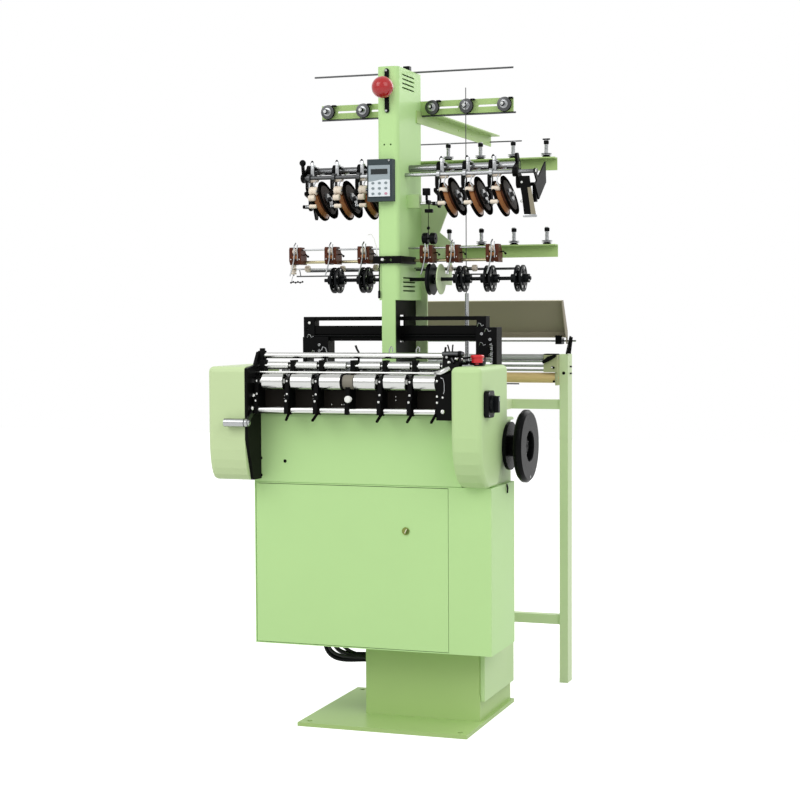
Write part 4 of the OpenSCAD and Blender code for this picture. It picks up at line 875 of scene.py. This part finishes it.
def feeder_guide(node, tube, wheel, lift):
    guide = Piece(node.replace("wheel", "guide"), "steel_parts").at(*tube)
    # strap in front of the tube, folded back over it
    guide.block((-28, -40, -22), (-16, -37.5, 28), 0.6)
    guide.block((-28, -40, 13), (-16, 6, 15.5), 0.6)
    guide.disc((-22, -22, 15), Z, 4.6, 5, 1, 16, 1)
    # curved spring leaf down to the rollers
    guide.bent([(10, -12, -8), (4, -30, -14), (-6, -44, -30), (-12, -50, -48), (-8, -54, -62),
                (2, -60, -70)], 2.2, 10)
    guide.bent([(-30, -14, -6), (-31, -40, -30), (-30, -46, -56), (-33, -44, -74)], 1.8, 10)
    # pins that carry the rollers
    guide.rod((-34, -38, -30), (2, -38, -30), 2.4, 12)
    guide.at(*wheel)
    for x0, x1, y, z in ((-36, -30, -42, 26), (-36, 0, -46, lift), (-36, -29, -58, -18),
                         (-32, 2, -71, -18)):
        guide.rod((x0, y, z), (x1, y, z), 2.4, 12)
    guide.block((-33, -76, -22), (-30, -53, -14), 0.6)
    guide.place()


def feeder_rollers(node, tube, wheel, lift, large):
    rollers = Piece(node.replace("wheel", "rollers"), "cream_plastic").at(*tube)
    rollers.barrel((-32, -38, -30), X, 8, 30)
    rollers.at(*wheel).barrel((-29, -46, lift), X, 14.5 if large else 8, 28)
    rollers.barrel((-20 if large else -26, -71, -18), X, 6.6, 24)
    if large:
        rollers.barrel((-26, -64, 10), X, 10, 22)
    rollers.place("black_plastic")


def feeder_clamp(node, tube):
    clamp = Piece(node.replace("wheel", "clamp"), "black_parts").at(*tube)
    clamp.turned((-41, 0, 0), X, [(0, 12.3), (0, 20), (1.5, 21.5), (12, 21.5), (13.5, 20),
                                  (13.5, 12.3)], 32)
    clamp.block((-40, -32, -7), (-30, -16, 7), 1.5)
    clamp.bent([(-34, -4, 16), (-35, -8, 26)], 3, 12)
    clamp.turned((-35, -8, 25), Z, [(0, 3), (0, 6), (4, 6.4), (9, 4), (12, 2), (12, 0)], 16)
    # curved arm behind the wheel
    clamp.bent([(-36, -20, -4), (-37, -36, -16), (-38, -50, -34), (-38, -50, -58), (-38, -44, -72)],
               4.6, 12)
    clamp.place()


def feeders():
    """Every feed wheel, then what guides its belt; the rollers left of the column are the large ones."""
    wheels = wheel_axes()
    for node, centre, axis in wheels:
        dress_wheel(node, centre, axis)
    tube_y = middle("feeder_drive_shaft").y + TUBE_Y
    tube_z = corners("feeder_rods")[1].z - 12
    for node, centre, axis in wheels:
        tube = (centre.x, tube_y, tube_z)
        wheel = (centre.x, tube_y, centre.z)
        large = centre.x < 0
        lift = 34 if large else 26
        feeder_guide(node, tube, wheel, lift)
        feeder_rollers(node, tube, wheel, lift, large)
        feeder_clamp(node, tube)


def feeder_ends():
    low, high = corners("feeder_arms")
    shaft = middle("feeder_drive_shaft")
    knobs = Piece("feeder_knobs", "black_gloss").at(low.x, shaft.y, 0)
    knobs.ball((3, -8, high.z - 12), 11)
    knobs.disc((6, 0, shaft.z), -X, 14, 9.6, 1.6, 28, 1)
    knobs.place()
    strip = Piece("feeder_strip", "olive_tray").at(high.x, shaft.y, shaft.z)
    strip.slab([(-23, -52), (-12, -52), (4, -138), (-11, -140)], (0, -9, 0), X, Z, 4)
    strip.use("steel_parts").block((-38, -14, -146), (5, 2, -137), 1.5)
    strip.use("black_gloss").block((-17, 24, -96), (-4, 42, -42), 2)
    strip.place()
    lever = Piece("feeder_lever", "black_parts").at(high.x, shaft.y, shaft.z)
    lever.slab([(-53, -15), (-19, -15), (-15, -52), (-5, -112), (-4, -140), (-35, -138), (-43, -75),
                (-51, -32)], HERE, X, Z, 9)
    lever.use("chrome_parts")
    for z in (-95, -35):
        lever.dome((-43, -9, z), -Y, 4.6, 4)
    lever.place()
    nuts = Piece("feeder_nuts", "chrome_parts")
    nuts.screw((low.x - 0.5, shaft.y + TUBE_Y, shaft.z + 24), -X, 7, 5)
    nuts.screw((high.x, shaft.y, shaft.z), X, 7, 5)
    nuts.place()


def repaint_feeder_rods():
    left = corners("column")[0].x
    right = corners("feeder_arms")[1].x - 79
    foot = corners("feeder_rods")[0].z
    repaint("feeder_drive_shaft", "dark_steel", lambda p: p.x < left or p.x > right)
    repaint("feeder_rods", "dark_steel", lambda p: p.z > foot + 257 and p.x < left or p.z < foot + 57)
    repaint("feeder_rods", "rod_brass", lambda p: abs(p.z - foot - 33) < 6)


# Weft ---------------------------------------------------------------------------------------------

# Places of the guides and of the wheels, from the left ends of their rows
BLOCK_STEPS = (21, 148, 265, 482, 571, 706)
WEFT_STEPS = (44, 147, 482, 575, 677)
BEAD_PITCH = 8.4


def weft_guides():
    low, high = corners("weft_blocks")
    for i, step in enumerate(BLOCK_STEPS):
        guide = Piece(f"weft_guide_{i + 1}", "steel_parts").at(low.x + step, low.y, high.z)
        # flat spring that runs down in front of the block
        guide.bent([(0, 8, 14), (-1, -4, 4), (1, -7, -18), (-2, -5, -44), (-6, -10, -70),
                    (-12, -16, -96)], 2.4, 10)
        guide.bent([(8, 4, 8), (9, -4, -6), (12, -6, -26), (10, -3, -44)], 1.6, 8)
        guide.use("cream_plastic").barrel((-8.6, 7, -14), X, 9.5, 17)
        guide.use("gold_drum").barrel((-8.6, 5, -33), X, 6.5, 17)
        guide.use("black_parts").bent([(20, 22, -26), (34, 18, -24), (40, 16, -30)], 2, 8)
        guide.ball((41, 16, -31), 4)
        guide.use("chrome_parts")
        for x in (-15, 15):
            guide.dome((x, 2, -40), -Y, 3, 3, 12)
        guide.place()


def weft_wheel_details():
    low = corners("weft_wheels")[0]
    shaft = middle("weft_wheels")
    wheels = Piece("weft_wheel_details", "black_gloss", "weft_wheels")
    for step in WEFT_STEPS:
        wheels.use("black_gloss").at(low.x + step, shaft.y, shaft.z)
        for side in (-1, 1):
            wheels.turned((side * 12, 0, 0), X, [(0, 15), (0, 24), (side * 2.4, 23), (side * 2.4, 15)], 36)
        for a, b in circle(5, 22, 0.3):
            wheels.rod((-13, b, -a), (13, b, -a), 3.4, 12, 0.6)
        wheels.use("chrome_parts")
        for a, b in circle(2, 9, -0.9):
            wheels.dome((30, b, -a), X, 2.6, 2, 12)
        for a, b in circle(5, 33, math.tau / 10):
            for x in (-6, 12):
                wheels.dome((x, b, -a), X, 4.4, 1.8, 14)
    wheels.place()


def weft_rollers():
    shaft = middle("weft_wheels")
    stack = Piece("weft_rollers", "cream_plastic").at(corners("weft_blocks")[0].x, shaft.y + 45, shaft.z)
    for x, z in ((28, 41), (155, 39), (274, 42), (534, 36), (618, 36)):
        stack.barrel((x, 0, z), X, 11, 16)
    for k in range(4):
        stack.turned((-16, 0, 23 + BEAD_PITCH * k), Z, [(0, 0), (0, 9), (1, 10), (6, 10), (7, 9), (7, 0)],
                     24)
    stack.use("steel_parts").rod((-16, 0, 18), (-16, 0, 62), 3, 12)
    stack.rod((-24, 0, 40), (636, 0, 37), 2.6, 12)
    stack.place("black_plastic")


def weft_chain():
    shaft = middle("weft_wheels")
    chain = Piece("weft_chain", "black_gloss").at(corners("weft_blocks")[0].x, shaft.y, shaft.z)
    for k in range(6):
        chain.ball((-7 + BEAD_PITCH * k, 0, -3.5 if k % 2 else -6), 3.4, X, 12)
    chain.rod((-9, 0, -5), (37, 0, -5), 1.4, 8)
    chain.bent([(-4, 0, -5), (-10, 16, 6), (-16, 45, 22)], 0.8, 8)
    chain.use("dark_steel")
    for x0, x1 in ((-9, 326), (546, 678)):
        chain.rod((x0, 56, 16), (x1, 56, 16), 2.4, 12)
    for x in (6, 556):
        chain.rod((x, 56, 16), (x, 45, 39), 1.6, 10)
    chain.place()


# Harness ------------------------------------------------------------------------------------------

WIRE_PITCH = 9
FRAME_PITCH = 20

beam_low, beam_high = corners("harness_beams")
side_y = corners("harness_side_left")[0].y
left_x = corners("harness_side_left")[0].x
right_x = corners("harness_side_right")[0].x


def harness_bar():
    bar = Piece("harness_bar", "black_gloss").at(0, beam_low.y - 4, beam_high.z - 64)
    bar.rod((beam_low.x + 4, 0, 0), (beam_high.x - 6, 0, 0), 3.4, 16)
    bar.place()


def harness_screws():
    screws = Piece("harness_screws", "steel_parts").at(0, side_y, beam_high.z)
    for x, z in ((left_x + 60, -93), (left_x + 60, -113), (right_x + 20, -57), (right_x + 48, -75),
                 (right_x + 48, -173), (right_x + 20, -233)):
        screws.screw((x, 0, z), -Y, 5, 4)
    screws.place()


def harness_springs_and_glints():
    coils = Piece("harness_springs_and_glints", "steel_parts")
    for x, z, length in ((right_x + 26, -197, 64), (right_x + 54, -161, 70), (left_x + 74, -181, 60)):
        coils.at(x, side_y, beam_high.z + z).spring((0, -6, 0), Z, 4.6, 1.1, length, 12)
        for end in (-1.5, length + 1.5):
            coils.rod((0, 0.5, end), (0, -9, end), 2.4, 10)
    # Wire curls on the castings: light steel wires put where the castings' relief shows glints, painted highlights
    for x, z in ((right_x + 14, -25), (right_x + 38, -43), (right_x + 20, -87), (right_x + 46, -215),
                 (left_x + 26, -61), (left_x + 40, -115)):
        coils.at(x, side_y, beam_high.z + z)
        coils.bent([(-9, 1, -8), (-4, -3, 3), (3, -4, 1), (6, -3, -7), (12, 1, -4)], 1.4, 8)
    coils.use("white_plastic").at(left_x, side_y, beam_high.z).dome((24, 0, -20), -Y, 4.6, 1.6)
    coils.place()


def heald_wires():
    for node in ("heald_frames_even", "heald_frames_odd"):
        wires = Piece(node.replace("frames", "wires"), "steel_parts", node)
        low, high = corners(node)
        y = low.y
        while y < high.y:
            x = low.x + 16
            while x < high.x - 14:
                wires.block((x - 0.5, y + 1.2, low.z + 11), (x + 0.5, y + 2.6, high.z - 11))
                x += WIRE_PITCH
            y += FRAME_PITCH
        wires.place()


# Rear ---------------------------------------------------------------------------------------------

# Pale strips on the rear tray's lip and top edge: painted highlight where light from above falls on them
def tray_lip_highlight():
    low, high = corners("rear_tray")
    lip = Piece("tray_lip_highlight", "pale_highlight")
    lip.block((low.x + 3.2, high.y - 0.2, high.z - 129), (high.x - 3.2, high.y + 0.9, high.z - 111), 0.3)
    lip.block((low.x, low.y - 0.6, high.z - 2.4), (high.x, low.y + 4.6, high.z + 0.2), 0.5)
    lip.place("olive_tray")


def bearing_caps():
    low, high = corners("rear_roller_brackets")
    caps = Piece("bearing_caps", "black_parts")
    for x in (high.x - 50, low.x + 2):
        caps.at(x, low.y, high.z)
        caps.block((0, 4, -8), (48, 46, 4), 2.5)
        caps.block((-2, 8, -28), (8, 40, -6), 2)
    caps.use("black_gloss")
    for x in (high.x - 12, low.x + 12):
        for y, z in ((0, -44), (5, -92)):
            caps.at(x, low.y, high.z).screw((0, y, z), -Y, 4.2, 3)
    caps.place()


def bracket_wing():
    low, high = corners("rear_roller_brackets")
    wing = Piece("bracket_wing", "black_parts").at(high.x, low.y, high.z)
    wing.slab([(-51, -22), (-32, -6), (-2, 3), (-2, -6), (-22, -19), (-48, -30)], (0, 1, 0), X, Z, 12)
    wing.rod((39, 46, 62), (32, 46, 4), 6.6, 16)
    wing.use("black_gloss").at(*corners("harness_side_right")[0])
    wing.rod((38, 7, 66), (142, 7, 66), 2, 12)
    wing.block((34, -2, 58), (46, 13, 74), 1.5)
    wing.place()


def leg_parts():
    low, high = corners("rear_leg_right")
    left = corners("rear_leg_left")[0].x + 12
    right = high.x - 22
    repaint("rear_rods", "black_gloss",
            lambda p: p.z > high.z and (p.x > right or p.x < left) and abs(p.z - high.z - 42) > 4)
    repaint("rear_rods", "black_gloss",
            lambda p: p.z > high.z + 32 and right - 24 < p.x < right + 6)
    screws = Piece("leg_screws", "black_gloss")
    screws.dome(((low.x + high.x) / 2, low.y, high.z - 66), -Y, 5.6, 2)
    for z in (-44, -68):
        screws.at(high.x, low.y + 30, high.z).rod((-0.4, 0, z), (7, 0, z), 3, 12, 0.5)
    screws.place()


# Cabinet ------------------------------------------------------------------------------------------

HOSE_STEPS = 18


def panel_screws():
    screws = Piece("panel_screws", "black_gloss").at(*corners("front_panel")[0])
    for x, z in ((23, 75), (23, 20), (107, 67)):
        screws.screw((x, 0, z), -Y, 5.4, 1.6)
    screws.place()


# The lock's face: a dark half-disc of painted shade, and a pale bar along the slot, a painted highlight
def lock_shade_and_highlight():
    low, high = corners("door_lock")
    r = (high.x - low.x) / 2
    lean = math.radians(24)
    across = Vector((math.cos(lean), 0, -math.sin(lean)))
    along = Vector((math.sin(lean), 0, math.cos(lean)))
    arc = [math.radians(a) for a in range(-75, 76, 10)]
    shade_half = [(r * 0.84 * math.cos(a), r * 0.84 * math.sin(a)) for a in arc]
    slot = Piece("lock_shade_and_highlight", "lock_shade", "door_lock").at(low.x + r, low.y, low.z + r)
    slot.slab(shade_half, HERE, across, along, 0.5)
    slot.use("pale_highlight").slab([(-1.3, -7), (1.3, -7), (1.3, 7), (-1.3, 7)], HERE, across, along, 0.7)
    slot.place("lock_brass")


def side_latch():
    latch = Piece("side_latch", "black_gloss").at(*corners("cabinet")[1])
    latch.bent([(0.5, -91, -2), (4, -92, -14), (2, -89, -30)], 2.6, 10)
    latch.place()


def cable_hoses():
    """Two thicker hoses beside the cables, from the cabinet's floor into the pedestal's side."""
    low, high = corners("pedestal")
    hoses = Piece("cable_hoses", "black_plastic").at(low.x, low.y + 60, high.z)
    for out, aside, sag, rise in ((-162, -9, 92, -7), (-137, 7, 64, 7)):
        top = Vector((out, aside, 0))
        end = Vector((14, aside, rise - 62))
        a, d = top - 8 * Z, end - 24 * X
        b, c = a - sag * Z, d - 60 * X
        curve = []
        for k in range(HOSE_STEPS + 1):
            t = k / HOSE_STEPS
            u = 1 - t
            curve.append(a * u ** 3 + b * 3 * u * u * t + c * 3 * u * t * t + d * t ** 3)
        hoses.bent([top, *curve, end], 7.5, 14)
    hoses.place()


# The scene ----------------------------------------------------------------------------------------

PARTS = (
    column_parts, takeup_screws, plate_lugs, plunger_knob, sleeve_rings, repaint_takeup, bar_handle,
    end_block_wire, bar_clamps, end_block_parts, reed_hooks, brake_unit, release_parts, switch_parts,
    wheel_parts, keypad_parts, signal_parts, tensioner_pins, tensioner_discs, repaint_guide_rods,
    feeders, feeder_ends, repaint_feeder_rods, weft_guides, weft_wheel_details, weft_rollers, weft_chain,
    harness_bar, harness_screws, harness_springs_and_glints, heald_wires, tray_lip_highlight, bearing_caps, bracket_wing,
    leg_parts, panel_screws, lock_shade_and_highlight, side_latch, cable_hoses,
)

make_camera()
make_world()
make_floor()
for lamp in LAMPS:
    area_light(*lamp)
dress_frame()
for make in PARTS:
    make()

bpy.context.scene.view_settings.view_transform = "Standard"
